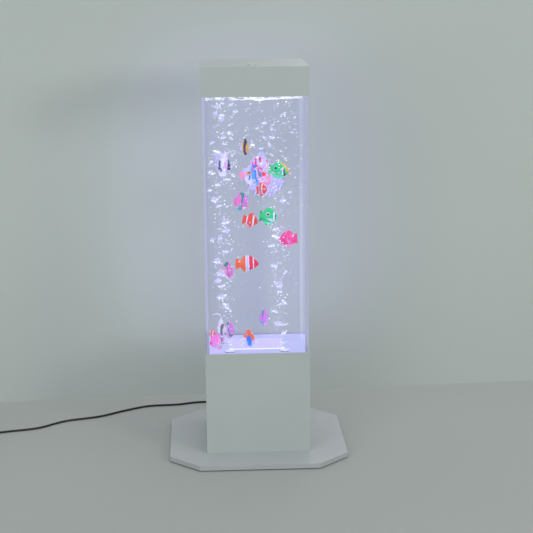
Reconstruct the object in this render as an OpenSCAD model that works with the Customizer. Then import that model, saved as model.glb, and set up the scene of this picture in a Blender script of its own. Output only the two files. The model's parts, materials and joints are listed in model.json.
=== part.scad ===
/* [Base] */
// Width of the octagonal base plate across its flats
base_w = 344; // [320:1:400]
// Length that each corner of the plate is cut back along both edges
base_corner = 58; // [40:1:80]
// Thickness of the base plate
base_t = 9; // [8:0.5:14]
// Diameter of each rubber foot
foot_d = 24; // [14:1:32]
// Height of each rubber foot
foot_h = 2; // [1.5:0.5:5]
// Distance of each foot's centre from the middle of the plate, along both axes
foot_place = 122; // [110:1:124]

/* [Housing] */
// Outer width of the square lower housing
housing_w = 200; // [190:1:220]
// Height of the lower housing above the base plate
housing_h = 198; // [180:1:260]
// Wall thickness of the housing and of the cap's skirt
shell_t = 1.5; // [1.2:0.1:2]
// Width of each square post in the housing's corners
post_w = 16; // [14:1:20]
// Thickness of the deck that carries the tank
deck_t = 6; // [5:0.5:10]
// Height of each base screw's shank above the plate's counterbore
base_screw_l = 22; // [16:1:30]
// Diameter of each base screw's shank
base_screw_d = 4.5; // [3.5:0.5:5]

/* [Tank] */
// Height of the tank that shows between the housing and the cap
tank_view_h = 490; // [400:5:700]
// Thickness of the acrylic walls
tank_t = 6; // [4:0.5:8]
// Thickness of the tank's floor
floor_t = 8; // [6:0.5:12]
// Depth of the tank floor's top below the housing's lip
floor_drop = 1; // [0.5:0.5:6]
// Distance from the cap's lower edge down to the water's surface
water_drop = 7; // [4:1:40]
// Gap between the tank and the housing's wall
tank_gap = 0.3; // [0.2:0.1:0.6]

/* [Cap] */
// Height of the cap
cap_h = 55.4; // [40:0.1:90]
// Thickness of the cap's top
cap_top_t = 3; // [2:0.5:5]
// Gap between the cap's skirt and the tank
cap_gap = 0.6; // [0.4:0.1:1.2]
// Diameter of the refill plug's head
plug_head_d = 16; // [15:1:24]
// Height of the refill plug's head above the cap
plug_head_h = 3; // [2:0.5:5]
// Diameter of the refill plug's stem
plug_stem_d = 11.6; // [9:0.1:13]
// Distance of the refill plug's centre from the cap's front face
plug_inset = 32; // [20:1:60]
// Distance of the refill plug's centre from the cap's middle line, to the left
plug_offset = 4; // [0:1:20]

/* [Light] */
// Width of the square light window under the tank
window_w = 100; // [80:1:110]
// Thickness of the opal diffuser
diffuser_t = 3; // [2:0.5:4]
// Width of the ledge that holds the diffuser
ledge_w = 3; // [2:0.5:4]
// Width of the square light board
light_board_w = 90; // [84:1:96]
// Number of light chips along each side of the board
chips = 5; // [3:1:7]
// Width of each light chip
chip_w = 5; // [3:0.5:6]
// Length of the pillars that hang the light board from the deck
pillar_l = 24; // [18:1:40]

/* [Air] */
// Distance between the two air inlets
inlet_spacing = 106; // [100:1:116]
// Distance of the air inlets from the tank's front wall
inlet_inset = 17; // [12:1:22]
// Diameter of each air inlet's flange
inlet_flange_d = 18; // [16:1:20]
// Diameter of each air inlet's threaded shank
inlet_shank_d = 10; // [8:1:12]
// Diameter of the air passage through each barb
barb_bore_d = 2.5; // [2:0.1:2.7]
// Outer diameter of the air tubes
tube_d = 6; // [5.5:0.5:8]
// Inner diameter of the air tubes
tube_bore_d = 4; // [3:0.5:4.5]
// Diameter of each check valve
valve_d = 12; // [10:1:14]
// Length of each check valve's body
valve_l = 24; // [18:1:30]
// Diameter of the pump's motor
motor_d = 28; // [24:1:32]
// Length of the pump's motor
motor_l = 36; // [28:1:44]
// Width of the pump's diaphragm head
pump_head_w = 50; // [44:1:56]
// Height of the pump's diaphragm head
pump_head_h = 38; // [34:1:44]

/* [Controls] */
// Width of the control board
board_w = 60; // [50:1:64]
// Depth of the control board
board_d = 40; // [34:1:44]
// Thickness of both circuit boards
board_t = 1.6; // [1:0.2:2]
// Height of the control board's standoffs
standoff_h = 8; // [6:1:12]
// Height of the jack and the button above the base plate
rear_h = 24; // [18:1:40]
// Distance of the jack to the left of the middle line
jack_x = 30; // [20:1:50]
// Distance of the button to the right of the middle line
button_x = 20; // [14:1:50]
// Diameter of the button's cap
button_d = 9; // [7:0.5:11]
// Distance that the button travels when it is pressed
button_travel = 1.5; // [1:0.1:2]

/* [Fish] */
// Length of a full-sized clownfish
clown_l = 45; // [36:1:48]
// Length of a full-sized parrotfish
parrot_l = 42; // [34:1:44]
// Length of a full-sized striped butterflyfish
stripe_l = 36; // [30:1:38]
// Length of a full-sized bannerfish
banner_l = 40; // [32:1:42]
// Length of the angelfish
angel_l = 89; // [70:1:92]
// Thickness of the fins
fin_t = 1; // [0.8:0.1:1.4]
// Least gap between a fish and the tank or the water's surface
fish_gap = 0.7; // [0.5:0.1:2]

/* [Cord] */
// Diameter of the cord
cord_d = 4.2; // [4:0.1:5]
// Number of sides of the cord's free stretch
cord_sides = 10; // [8:1:12]
// Length of the adapter's body
adapter_l = 68; // [55:1:80]
// Width of the adapter's body
adapter_w = 42; // [34:1:46]
// Height of the adapter's body
adapter_h = 28; // [24:1:34]

/* [Hidden] */
$fn = 48;

// Clearances
slip = 0.05;       // round a screw, stem or plug in its hole
seat_gap = 0.3;    // round a flat piece in its recess

// Heights
deck_base = foot_h + base_t;
lip = deck_base + housing_h;
floor_top = lip - floor_drop;
floor_base = floor_top - floor_t;
deck_under = floor_base - deck_t;
cap_base = lip + tank_view_h;
cap_top = cap_base + cap_h;
tank_rim = cap_top - cap_top_t;
water_top = cap_base - water_drop;

// Widths
housing_in = housing_w - 2 * shell_t;
tank_w = housing_in - 2 * tank_gap;
tank_in = tank_w - 2 * tank_t;
cap_in = tank_w + 2 * cap_gap;
cap_w = cap_in + 2 * shell_t;
post_at = housing_in / 2 - post_w / 2;
tank_h = tank_rim - floor_base;

// Base screws: a wide head in a counterbore
base_head_d = 2 * base_screw_d;
base_head_h = 3;
counterbore_h = 4;
counterbore_wall = 1;
base_hole_extra = 0.4;

// Light window
diffuser_w = window_w - 2 * seat_gap;
ledge_in = window_w - 2 * ledge_w;
light_board_top = deck_under - pillar_l;
pillar_d = 6;
pillar_at = light_board_w / 2 - pillar_d;
chip_h = 1.6;
chip_margin = 12;
chip_pitch = (light_board_w - 2 * chip_margin - chip_w) / (chips - 1);

// Small machine screws in both boards
m3_d = 3;
m3_head_d = 5.5;
m3_head_h = 2;
m3_l = 7;

// Air inlets
inlet_x = inlet_spacing / 2;
inlet_y = -tank_in / 2 + inlet_inset;
inlet_flange_h = 2;
seal_t = 1;
inlet_nut_d = 20;
inlet_nut_h = 5;
inlet_barb_l = 14;
inlet_shank_l = floor_t + deck_t + 4;
nut_hole_d = inlet_nut_d + 4;
nozzle_holes = 6;
nozzle_hole_d = 0.7;
nozzle_r = (barb_bore_d - nozzle_hole_d) / 2 - 0.1;
barb_top = floor_top - inlet_shank_l;

// Check valves stand between the two lengths of tube on each side
tube_overlap = 10;
valve_barb_l = tube_overlap;
valve_top = barb_top - inlet_barb_l - 2 - valve_barb_l;
valve_base = valve_top - valve_l;

tube_bend_r = 12;

// Pump
damper_h = 6;
damper_d = 12;
damper_bore_d = 3;
cradle_w = pump_head_w + 2 * (damper_d + 1);
cradle_d = 66;
cradle_t = 2;
cradle_base = deck_base + damper_h;
cradle_y = -12;
damper_x = cradle_w / 2 - damper_d / 2 - 1;
damper_y = cradle_d / 2 - damper_d / 2 - 1;
pump_head_d = 22;
pump_front = cradle_y - cradle_d / 2 + 4;
motor_y = pump_front + pump_head_d;
pump_z = cradle_base + cradle_t + pump_head_h / 2;
pump_top = cradle_base + cradle_t + pump_head_h;
outlet_x = 15;
outlet_y = pump_front + pump_head_d / 2;
outlet_l = 12;
saddle_w = 20;
saddle_l = 20;
pump_screw_l = 12;

// Controls
board_x = -46;
board_y = 56;
board_z = deck_base + standoff_h;
standoff_d = 6;
standoff_x = board_w / 2 - 5;
standoff_y = board_d / 2 - 5;
rear_z = deck_base + rear_h;
rear_out = housing_w / 2;
rear_in = rear_out - shell_t;
jack_thread_d = 12;
jack_flange_d = 15;
jack_flange_t = 2;
jack_l = 14;
jack_bore_d = 5.7;
jack_bore_l = 12;
jack_pin_d = 2;
jack_nut_d = 17;
jack_nut_t = 3;
button_bezel_d = 16;
button_bezel_t = 1.5;
button_body_d = 12;
button_body_l = 16;
button_out = 2.5;
button_stem_l = 6;
button_gap = 0.2;
wire_d = 2;
lead_bend_r = 5;
light_lead_x = -30;
pump_lead_x = -9;
pump_lead_z = pump_z - 1;

// ---------- Fish ----------
// Each row is one ring of a fish, in shares of its length: distance from the snout, upper fin edge,
// back, belly, lower fin edge, and half of the body's thickness.
CLOWN = [
    [0, 0.03, 0.02, -0.04, -0.05, 0.015], [0.08, 0.12, 0.11, -0.11, -0.12, 0.07],
    [0.2, 0.22, 0.2, -0.19, -0.2, 0.12], [0.32, 0.33, 0.25, -0.24, -0.25, 0.145],
    [0.45, 0.37, 0.25, -0.25, -0.3, 0.14], [0.58, 0.36, 0.2, -0.21, -0.37, 0.115],
    [0.68, 0.3, 0.14, -0.15, -0.33, 0.075], [0.76, 0.13, 0.1, -0.1, -0.13, 0.04],
    [0.84, 0.17, 0.12, -0.12, -0.17, 0.02], [0.93, 0.24, 0.15, -0.15, -0.24, 0.012],
    [1, 0.2, 0.12, -0.12, -0.2, 0.01]
];
PARROT = [
    [0, 0.02, 0.01, -0.03, -0.05, 0.02], [0.1, 0.15, 0.13, -0.12, -0.14, 0.08],
    [0.22, 0.28, 0.25, -0.22, -0.24, 0.12], [0.36, 0.38, 0.31, -0.28, -0.33, 0.14],
    [0.5, 0.42, 0.31, -0.29, -0.39, 0.135], [0.64, 0.4, 0.25, -0.23, -0.37, 0.11],
    [0.75, 0.3, 0.15, -0.15, -0.28, 0.06], [0.83, 0.16, 0.1, -0.1, -0.15, 0.03],
    [0.92, 0.24, 0.14, -0.14, -0.22, 0.015], [1, 0.28, 0.14, -0.14, -0.26, 0.012]
];
STRIPE = [
    [0, 0.02, 0.01, -0.04, -0.05, 0.02], [0.1, 0.17, 0.15, -0.16, -0.18, 0.07],
    [0.22, 0.34, 0.3, -0.28, -0.3, 0.11], [0.36, 0.46, 0.36, -0.33, -0.4, 0.125],
    [0.5, 0.5, 0.37, -0.34, -0.46, 0.12], [0.64, 0.5, 0.31, -0.29, -0.48, 0.1],
    [0.76, 0.4, 0.17, -0.17, -0.4, 0.055], [0.83, 0.17, 0.1, -0.1, -0.17, 0.03],
    [0.92, 0.21, 0.14, -0.14, -0.21, 0.015], [1, 0.2, 0.12, -0.12, -0.2, 0.012]
];
BANNER = [
    [0, 0.03, 0.02, -0.02, -0.03, 0.02], [0.1, 0.08, 0.07, -0.08, -0.09, 0.05],
    [0.2, 0.3, 0.26, -0.24, -0.26, 0.1], [0.34, 0.62, 0.37, -0.34, -0.38, 0.12],
    [0.48, 0.78, 0.38, -0.36, -0.5, 0.115], [0.6, 0.72, 0.3, -0.31, -0.56, 0.09],
    [0.72, 0.45, 0.18, -0.19, -0.42, 0.05], [0.8, 0.16, 0.1, -0.1, -0.14, 0.025],
    [0.9, 0.2, 0.13, -0.13, -0.18, 0.013], [1, 0.2, 0.12, -0.12, -0.18, 0.011]
];
ANGEL = [
    [0, 0.06, 0.04, -0.02, -0.05, 0.02], [0.08, 0.14, 0.12, -0.1, -0.12, 0.05],
    [0.2, 0.26, 0.24, -0.22, -0.26, 0.08], [0.32, 0.36, 0.3, -0.3, -0.4, 0.095],
    [0.44, 0.5, 0.32, -0.32, -0.46, 0.095], [0.52, 0.65, 0.3, -0.3, -0.46, 0.085],
    [0.6, 0.5, 0.27, -0.27, -0.44, 0.07], [0.7, 0.33, 0.2, -0.2, -0.36, 0.045],
    [0.78, 0.24, 0.13, -0.13, -0.26, 0.025], [0.86, 0.2, 0.14, -0.14, -0.22, 0.012],
    [1, 0.16, 0.1, -0.12, -0.22, 0.01]
];

// Each fish: its rings, its length, how deep its body is for that length, its colour, where it floats,
// and how it faces. The place is a share of the room that the fish has: from wall to wall twice, from -1
// to 1, then from the floor, 0, up to the water's surface, 1. The heading is in degrees from the tank's
// right, and the tilt lifts the nose.
FISH = [
    [BANNER, banner_l * 0.83, 0.8, "khaki", [-0.189, 0.778, 0.815], -62, 0],
    [BANNER, banner_l * 0.91, 1.1, "white", [-0.792, 0.805, 0.747], 10, 0],
    [ANGEL, angel_l, 1.01, "plum", [0.337, 0.411, 0.743], 180, 0],
    [PARROT, parrot_l * 0.95, 1.02, "mediumseagreen", [0.63, -0.629, 0.737], 0, -8],
    [CLOWN, clown_l * 0.71, 1.1, "orangered", [0.145, -0.663, 0.654], -55, 10],
    [STRIPE, stripe_l * 0.82, 1.25, "orchid", [-0.33, 0.115, 0.59], 0, -6],
    [CLOWN, clown_l * 0.66, 1.35, "orangered", [-0.127, -0.149, 0.514], 0, -12],
    [PARROT, parrot_l * 0.85, 1.19, "mediumseagreen", [0.35, -0.347, 0.534], 0, -6],
    [PARROT, parrot_l * 0.85, 1.14, "hotpink", [0.856, -0.48, 0.439], 180, -4],
    [CLOWN, clown_l * 0.99, 1, "orangered", [-0.24, -0.306, 0.33], 0, 0],
    [STRIPE, stripe_l * 0.99, 1.03, "orchid", [-0.659, 0.637, 0.272], 125, 0],
    [STRIPE, stripe_l, 0.97, "orchid", [0.2, 0.111, 0.072], -122, 8],
    [BANNER, banner_l * 0.85, 0.85, "white", [-0.818, -0.158, 0.04], 118, 0],
    [STRIPE, stripe_l * 0.9, 1.1, "orchid", [-0.628, 0.24, 0.016], -56, 0],
    [STRIPE, stripe_l * 0.79, 1.15, "orchid", [-1, -0.572, 0.001], 184, -10],
    [CLOWN, clown_l * 0.66, 1, "orangered", [-1, -0.405, 0.032], 115, 0],
    [STRIPE, stripe_l * 0.97, 1.08, "royalblue", [-0.181, -0.633, 0.001], -52, 0]
];
RING_POINTS = 12;
SIDE_SHARE = 0.45;    // where the body is widest, between its axis and its back or belly
BACK_SHARE = 0.55;    // how wide the body is where a fin leaves it

// The points of one ring, up one side from the upper fin edge and back up the other
function fish_ring(row, size, depth) =
    let (
        f = fin_t / 2,
        w = max(row[5] * size, f),
        v = max(BACK_SHARE * w, f),
        x = size * (0.5 - row[0]),
        half = [
            [f, row[1]], [v, row[2]], [w, SIDE_SHARE * row[2]],
            [w, SIDE_SHARE * row[3]], [v, row[3]], [f, row[4]]
        ]
    )
    concat(
        [for (p = half) [x, p[0], p[1] * size * depth]],
        [for (k = [5:-1:0]) [x, -half[k][0], half[k][1] * size * depth]]
    );

// A point with the nose lifted by tilt and then turned to its heading
function fish_turn(p, heading, tilt) =
    let (
        x = p[0] * cos(tilt) - p[2] * sin(tilt),
        z = p[0] * sin(tilt) + p[2] * cos(tilt)
    )
    [x * cos(heading) - p[1] * sin(heading), x * sin(heading) + p[1] * cos(heading), z];

function lowest(points, axis) = min([for (p = points) p[axis]]);
function highest(points, axis) = max([for (p = points) p[axis]]);

// Triangles between rings of n points each, and across both ends
function skin(rings, n) = concat(
    [for (r = [0:rings - 2], k = [0:n - 1]) [r * n + k, r * n + (k + 1) % n, (r + 1) * n + k]],
    [for (r = [0:rings - 2], k = [0:n - 1])
        [r * n + (k + 1) % n, (r + 1) * n + (k + 1) % n, (r + 1) * n + k]],
    [for (k = [0:n / 2 - 2]) [k, n - 2 - k, k + 1]],
    [for (k = [0:n / 2 - 2]) [k, n - 1 - k, n - 2 - k]],
    [for (k = [0:n / 2 - 2]) (rings - 1) * n * [1, 1, 1] + [k, k + 1, n - 2 - k]],
    [for (k = [0:n / 2 - 2]) (rings - 1) * n * [1, 1, 1] + [k, n - 2 - k, n - 1 - k]]
);

module fish(number) {
    spec = FISH[number - 1];
    loose = [
        for (row = spec[0], p = fish_ring(row, spec[1], spec[2])) fish_turn(p, spec[5], spec[6])
    ];
    low = [for (axis = [0:2]) lowest(loose, axis)];
    high = [for (axis = [0:2]) highest(loose, axis)];
    room = [tank_in, tank_in, water_top - floor_top] - (high - low) - 2 * fish_gap * [1, 1, 1];
    centre = [
        spec[4][0] * room[0] / 2,
        spec[4][1] * room[1] / 2,
        floor_top + fish_gap + (high[2] - low[2]) / 2 + spec[4][2] * room[2]
    ];
    move = centre - (low + high) / 2;
    color(spec[3])
        polyhedron([for (p = loose) p + move], skin(len(spec[0]), RING_POINTS));
}

// ---------- Cord ----------
// Route of the free stretch, from the plug's strain relief to the coil. The cord lies on the floor
// from its eighth point on.
cord_z = cord_d / 2 + 0.1;
plug_grip_l = 20;
plug_relief_l = 16;
cord_exit_y = rear_out + jack_flange_t + plug_grip_l + plug_relief_l;
ROUTE = [
    [-30, 138, 35], [-30, 146, 35], [-31, 158, 33], [-33, 172, 27.5], [-36, 188, 18],
    [-42, 204, 9], [-51, 220, 4], [-64, 235, 2.2], [-83, 247, 2.2], [-105, 252, 2.2],
    [-131, 248, 2.2], [-157, 239, 2.2], [-183, 236, 2.2], [-220, 233, 2.2], [-248, 221, 2.2],
    [-284, 198, 2.2], [-309, 179, 2.2], [-334, 165, 2.2], [-371, 153, 2.2], [-395, 144, 2.2],
    [-418, 127, 2.2], [-441, 107, 2.2], [-465, 96, 2.2], [-501, 87, 2.2], [-531, 79, 2.2]
];
STEPS = 3;    // rings in each stretch of the route

// Coil: two layers, in and out again
coil_centre = [-566, 42];
coil_from = 102;
coil_to = 1980;
coil_r = 30.8;
coil_pitch = 5;
coil_layer = 4.8;
coil_dip = 0.4;
coil_climb = 180;
coil_sides = 6;
coil_step = 15;
coil_half = (coil_to - coil_from - coil_climb) / 2;

function coil_turned(a) = a - coil_from;
// Share of the climb from the first layer to the second
function coil_share(a) = max(0, min(1, (coil_turned(a) - coil_half) / coil_climb));
function coil_radius(a) =
    coil_r - coil_pitch * min(coil_turned(a), coil_half, coil_to - a) / 360
    - coil_dip * sin(180 * coil_share(a));
function coil_point(a) = [
    coil_centre[0] + coil_radius(a) * cos(a),
    coil_centre[1] + coil_radius(a) * sin(a),
    cord_z + coil_layer * coil_share(a)
];
function heading_at(a) = [-sin(a), cos(a), 0];
coil_start = coil_point(coil_from) - cord_d * heading_at(coil_from);
coil_end = coil_point(coil_to) + cord_d * heading_at(coil_to);
coil_angles = [
    for (k = [0:floor((coil_to - coil_from) / coil_step)]) coil_from + k * coil_step,
    coil_to
];
COIL = concat(
    [coil_start],
    [for (a = coil_angles) coil_point(a)],
    [coil_end]
);

// A smooth curve through the route, ending where the coil starts
LEAD_POINTS = concat(ROUTE, [coil_start]);
function at_end(points, k) = points[max(0, min(len(points) - 1, k))];
function on_floor(p) = [p[0], p[1], max(p[2], cord_z)];
function curve(a, b, c, d, t) = 0.5 * (
    2 * b + (c - a) * t + (2 * a - 5 * b + 4 * c - d) * t * t + (3 * b - a - 3 * c + d) * t * t * t
);
LEAD = concat(
    [
        for (k = [0:len(LEAD_POINTS) - 2], s = [0:STEPS - 1])
            on_floor(curve(
                at_end(LEAD_POINTS, k - 1), LEAD_POINTS[k], LEAD_POINTS[k + 1],
                at_end(LEAD_POINTS, k + 2), s / STEPS
            ))
    ],
    [coil_start]
);

function unit(v) = v / norm(v);
function run(points, k, first, last) =
    k == 0 ? first : k == len(points) - 1 ? last : unit(points[k + 1] - points[k - 1]);
// Rings of a level tube, square to its run
function tube_rings(points, d, sides, first, last) = [
    for (k = [0:len(points) - 1])
        let (
            forward = run(points, k, first, last),
            side = unit(cross(forward, [0, 0, 1])),
            up = cross(side, forward)
        )
        for (s = [0:sides - 1])
            let (a = 360 * (s + 0.5) / sides)
            points[k] + d / 2 * (cos(a) * side + sin(a) * up)
];
function span(points) = [for (k = [1:len(points) - 1]) norm(points[k] - points[k - 1])];
function sum(v, k = 0) = k >= len(v) ? 0 : v[k] + sum(v, k + 1);
coil_gap = min([
    for (i = [0:len(COIL) - 1], j = [i + 12:1:len(COIL) - 1]) norm(COIL[i] - COIL[j])
]) - cord_d;
echo(coil_gap = coil_gap, cord_length = sum(span(LEAD)) + sum(span(COIL)));

// The adapter lies at the coil's end
adapter_relief_l = 30;
adapter_y = coil_end[1] - adapter_relief_l;
adapter_r = 5;
pin_d = 4.8;
pin_l = 19;
pin_spacing = 19;
tie_angle = 250;
tie_w = 8;
tie_t = 0.8;

// ---------- Base ----------
module octagon(w, corner, h) {
    e = w / 2;
    c = e - corner;
    linear_extrude(h)
        polygon([[-e, -c], [-c, -e], [c, -e], [e, -c], [e, c], [c, e], [-c, e], [-e, c]]);
}

module four(x, y) {
    for (sx = [-1, 1], sy = [-1, 1])
        translate([sx * x, sy * y, 0])
            children();
}

module base_plate() {
    color("gainsboro")
        difference() {
            translate([0, 0, foot_h])
                octagon(base_w, base_corner, base_t);
            four(post_at, post_at) {
                translate([0, 0, foot_h - 1])
                    cylinder(h = counterbore_h + 1, d = base_head_d + 2 * counterbore_wall);
                cylinder(h = deck_base + 1, d = base_screw_d + base_hole_extra);
            }
            translate([0, cradle_y, deck_base + damper_h + cradle_t - pump_screw_l])
                four(damper_x, damper_y)
                    cylinder(h = pump_screw_l, d = damper_bore_d);
            translate([board_x, board_y, board_z + board_t - m3_l - standoff_h])
                four(standoff_x, standoff_y)
                    cylinder(h = m3_l + standoff_h, d = m3_d + 2 * slip);
        }
}

module base_feet() {
    color("dimgray")
        four(foot_place, foot_place)
            cylinder(h = foot_h, d = foot_d);
}

module base_screws() {
    color("silver")
        four(post_at, post_at)
            translate([0, 0, foot_h + counterbore_h - base_head_h])
                difference() {
                    union() {
                        cylinder(h = base_head_h, d = base_head_d);
                        cylinder(h = base_head_h + base_screw_l, d = base_screw_d);
                    }
                    translate([0, 0, -1])
                        for (a = [0, 90])
                            rotate([0, 0, a])
                                translate([-base_screw_d / 2, -0.6, 0])
                                    cube([base_screw_d, 1.2, 2.5]);
                }
}

// ---------- Housing ----------
module square_tube(outer, inner, h) {
    difference() {
        translate([-outer / 2, -outer / 2, 0])
            cube([outer, outer, h]);
        translate([-inner / 2, -inner / 2, -1])
            cube([inner, inner, h + 2]);
    }
}

module rear_hole(x, d) {
    translate([x, rear_in - 5, rear_z])
        rotate([-90, 0, 0])
            cylinder(h = shell_t + 10, d = d);
}

module housing_shell() {
    color("whitesmoke")
        difference() {
            translate([0, 0, deck_base])
                square_tube(housing_w, housing_in, housing_h);
            rear_hole(-jack_x, jack_thread_d + 2 * slip);
            rear_hole(button_x, button_body_d + 2 * slip);
        }
}

module corner_posts() {
    color("lightgray")
        difference() {
            four(post_at, post_at)
                translate([-post_w / 2, -post_w / 2, deck_base])
                    cube([post_w, post_w, deck_under - deck_base]);
            four(post_at, post_at)
                cylinder(h = foot_h + counterbore_h + base_screw_l + 2, d = base_screw_d + 2 * slip);
        }
}

module support_deck() {
    color("lightgray")
        difference() {
            translate([-tank_w / 2, -tank_w / 2, deck_under])
                cube([tank_w, tank_w, deck_t]);
            translate([-window_w / 2, -window_w / 2, floor_base - diffuser_t])
                cube([window_w, window_w, diffuser_t + 1]);
            translate([-ledge_in / 2, -ledge_in / 2, deck_under - 1])
                cube([ledge_in, ledge_in, deck_t + 2]);
            for (side = [-1, 1])
                translate([side * inlet_x, inlet_y, deck_under - 1])
                    cylinder(h = deck_t + 2, d = nut_hole_d);
        }
}

// ---------- Tank ----------
module wide_wall(side) {
    color("lightcyan", 0.35)
        translate([-tank_w / 2, side * (tank_w - tank_t) / 2 - tank_t / 2, floor_base])
            cube([tank_w, tank_t, tank_h]);
}

module side_wall(side) {
    color("lightcyan", 0.35)
        translate([side * (tank_w - tank_t) / 2 - tank_t / 2, -tank_in / 2, floor_base])
            cube([tank_t, tank_in, tank_h]);
}

module tank_floor() {
    color("lavender", 0.6)
        difference() {
            translate([-tank_in / 2, -tank_in / 2, floor_base])
                cube([tank_in, tank_in, floor_t]);
            for (side = [-1, 1])
                translate([side * inlet_x, inlet_y, floor_base - 1])
                    cylinder(h = floor_t + 2, d = inlet_shank_d + 2 * slip);
        }
}

// ---------- Light ----------
module light_diffuser() {
    color("white")
        translate([-diffuser_w / 2, -diffuser_w / 2, floor_base - diffuser_t])
            cube([diffuser_w, diffuser_w, diffuser_t]);
}

module light_board() {
    color("white")
        difference() {
            translate([-light_board_w / 2, -light_board_w / 2, light_board_top - board_t])
                cube([light_board_w, light_board_w, board_t]);
            four(pillar_at, pillar_at)
                translate([0, 0, light_board_top - board_t - 1])
                    cylinder(h = board_t + 2, d = m3_d + 2 * slip);
        }
}

module light_chips() {
    color("khaki")
        for (i = [0:chips - 1], j = [0:chips - 1])
            translate([
                (i - (chips - 1) / 2) * chip_pitch - chip_w / 2,
                (j - (chips - 1) / 2) * chip_pitch - chip_w / 2,
                light_board_top
            ])
                cube([chip_w, chip_w, chip_h]);
}

module light_pillars() {
    color("goldenrod")
        four(pillar_at, pillar_at)
            translate([0, 0, light_board_top])
                difference() {
                    cylinder(h = pillar_l, d = pillar_d);
                    translate([0, 0, -1])
                        cylinder(h = m3_l + 1, d = m3_d + 2 * slip);
                }
}

// A machine screw that points along +Z, with its head's seat at the origin
module m3_screw() {
    cylinder(h = m3_l, d = m3_d);
    difference() {
        translate([0, 0, -m3_head_h])
            cylinder(h = m3_head_h, d = m3_head_d);
        translate([-m3_d / 2, -0.4, -m3_head_h - 1])
            cube([m3_d, 0.8, 2]);
    }
}

module board_screws() {
    color("silver") {
        four(pillar_at, pillar_at)
            translate([0, 0, light_board_top - board_t])
                m3_screw();
        translate([board_x, board_y, board_z + board_t])
            four(standoff_x, standoff_y)
                mirror([0, 0, 1])
                    m3_screw();
    }
}

// ---------- Air ----------
module at_inlets() {
    for (side = [-1, 1])
        translate([side * inlet_x, inlet_y, 0])
            children();
}

module inlet_bodies() {
    color("white")
        at_inlets()
            difference() {
                union() {
                    translate([0, 0, floor_top + seal_t])
                        cylinder(h = inlet_flange_h, d = inlet_flange_d);
                    translate([0, 0, barb_top])
                        cylinder(h = inlet_shank_l + seal_t + 1, d = inlet_shank_d);
                    translate([0, 0, barb_top - inlet_barb_l])
                        cylinder(h = inlet_barb_l + 1, d = tube_bore_d - 2 * slip);
                }
                translate([0, 0, barb_top - inlet_barb_l - 1])
                    cylinder(h = inlet_barb_l + inlet_shank_l, d = barb_bore_d);
                for (k = [0:nozzle_holes - 1])
                    rotate([0, 0, 360 * k / nozzle_holes])
                        translate([nozzle_r, 0, floor_top - 2])
                            cylinder(h = seal_t + inlet_flange_h + 4, d = nozzle_hole_d, $fn = 16);
            }
}

module ring(inner, outer, h) {
    difference() {
        cylinder(h = h, d = outer);
        translate([0, 0, -1])
            cylinder(h = h + 2, d = inner);
    }
}

module inlet_seals() {
    color("dimgray")
        at_inlets()
            translate([0, 0, floor_top])
                ring(inlet_shank_d + 2 * slip, inlet_flange_d, seal_t);
}

module inlet_nuts() {
    color("white")
        at_inlets()
            translate([0, 0, floor_base - inlet_nut_h])
                difference() {
                    cylinder(h = inlet_nut_h, d = inlet_nut_d, $fn = 6);
                    translate([0, 0, -1])
                        cylinder(h = inlet_nut_h + 2, d = inlet_shank_d + 2 * slip);
                }
}

module check_valves() {
    color("azure")
        at_inlets()
            difference() {
                union() {
                    translate([0, 0, valve_base])
                        cylinder(h = valve_l, d = valve_d);
                    translate([0, 0, valve_base + valve_l / 2 - 1])
                        cylinder(h = 2, d = valve_d + 2);
                    translate([0, 0, valve_base - valve_barb_l])
                        cylinder(h = valve_l + 2 * valve_barb_l, d = tube_bore_d - 2 * slip);
                }
                translate([0, 0, valve_base - valve_barb_l - 1])
                    cylinder(h = valve_l + 2 * valve_barb_l + 2, d = barb_bore_d);
            }
}

// A bent tube or lead that sets off along +Z. Each leg is its length, then the way that the quarter
// bend after it turns, in degrees about the leg; the last leg is a length alone.
module bent(legs, bend_r) {
    linear_extrude(legs[0][0])
        children();
    if (len(legs) > 1)
        translate([0, 0, legs[0][0]])
            rotate([0, 0, legs[0][1]]) {
                translate([bend_r, 0, 0])
                    rotate([90, 0, 0])
                        rotate([0, 0, 90])
                            rotate_extrude(angle = 90)
                                translate([bend_r, 0])
                                    children();
                translate([bend_r, 0, bend_r])
                    rotate([0, 90, 0])
                        bent([for (k = [1:len(legs) - 1]) legs[k]], bend_r)
                            children();
            }
}

module air_tubes() {
    across = [inlet_x - outlet_x, inlet_y - outlet_y];
    rise = valve_base - pump_top;
    first = outlet_l + 4;
    legs = [
        [first, 0], [norm(across) - 2 * tube_bend_r, 180], [rise - first - 2 * tube_bend_r]
    ];
    color("aliceblue")
        for (side = [0, 1])
            mirror([side, 0, 0]) {
                translate([outlet_x, outlet_y, pump_top])
                    rotate([0, 0, atan2(across[1], across[0])])
                        difference() {
                            bent(legs, tube_bend_r)
                                circle(d = tube_d);
                            bent(legs, tube_bend_r)
                                circle(d = tube_bore_d);
                        }
                translate([inlet_x, inlet_y, valve_top])
                    ring(tube_bore_d, tube_d, barb_top - valve_top);
            }
}

module pump_head() {
    color("dimgray")
        difference() {
            union() {
                translate([-pump_head_w / 2, pump_front, cradle_base + cradle_t])
                    cube([pump_head_w, pump_head_d, pump_head_h]);
                for (side = [-1, 1])
                    translate([side * outlet_x, outlet_y, pump_top - 1])
                        cylinder(h = outlet_l + 1, d = tube_bore_d - 2 * slip);
            }
            for (side = [-1, 1])
                translate([side * outlet_x, outlet_y, pump_z])
                    cylinder(h = pump_head_h, d = barb_bore_d);
        }
}

module pump_motor() {
    color("silver")
        translate([0, motor_y, pump_z])
            rotate([-90, 0, 0]) {
                cylinder(h = motor_l, d = motor_d);
                translate([0, 0, motor_l])
                    cylinder(h = 2, d = motor_d / 3);
            }
}

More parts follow.
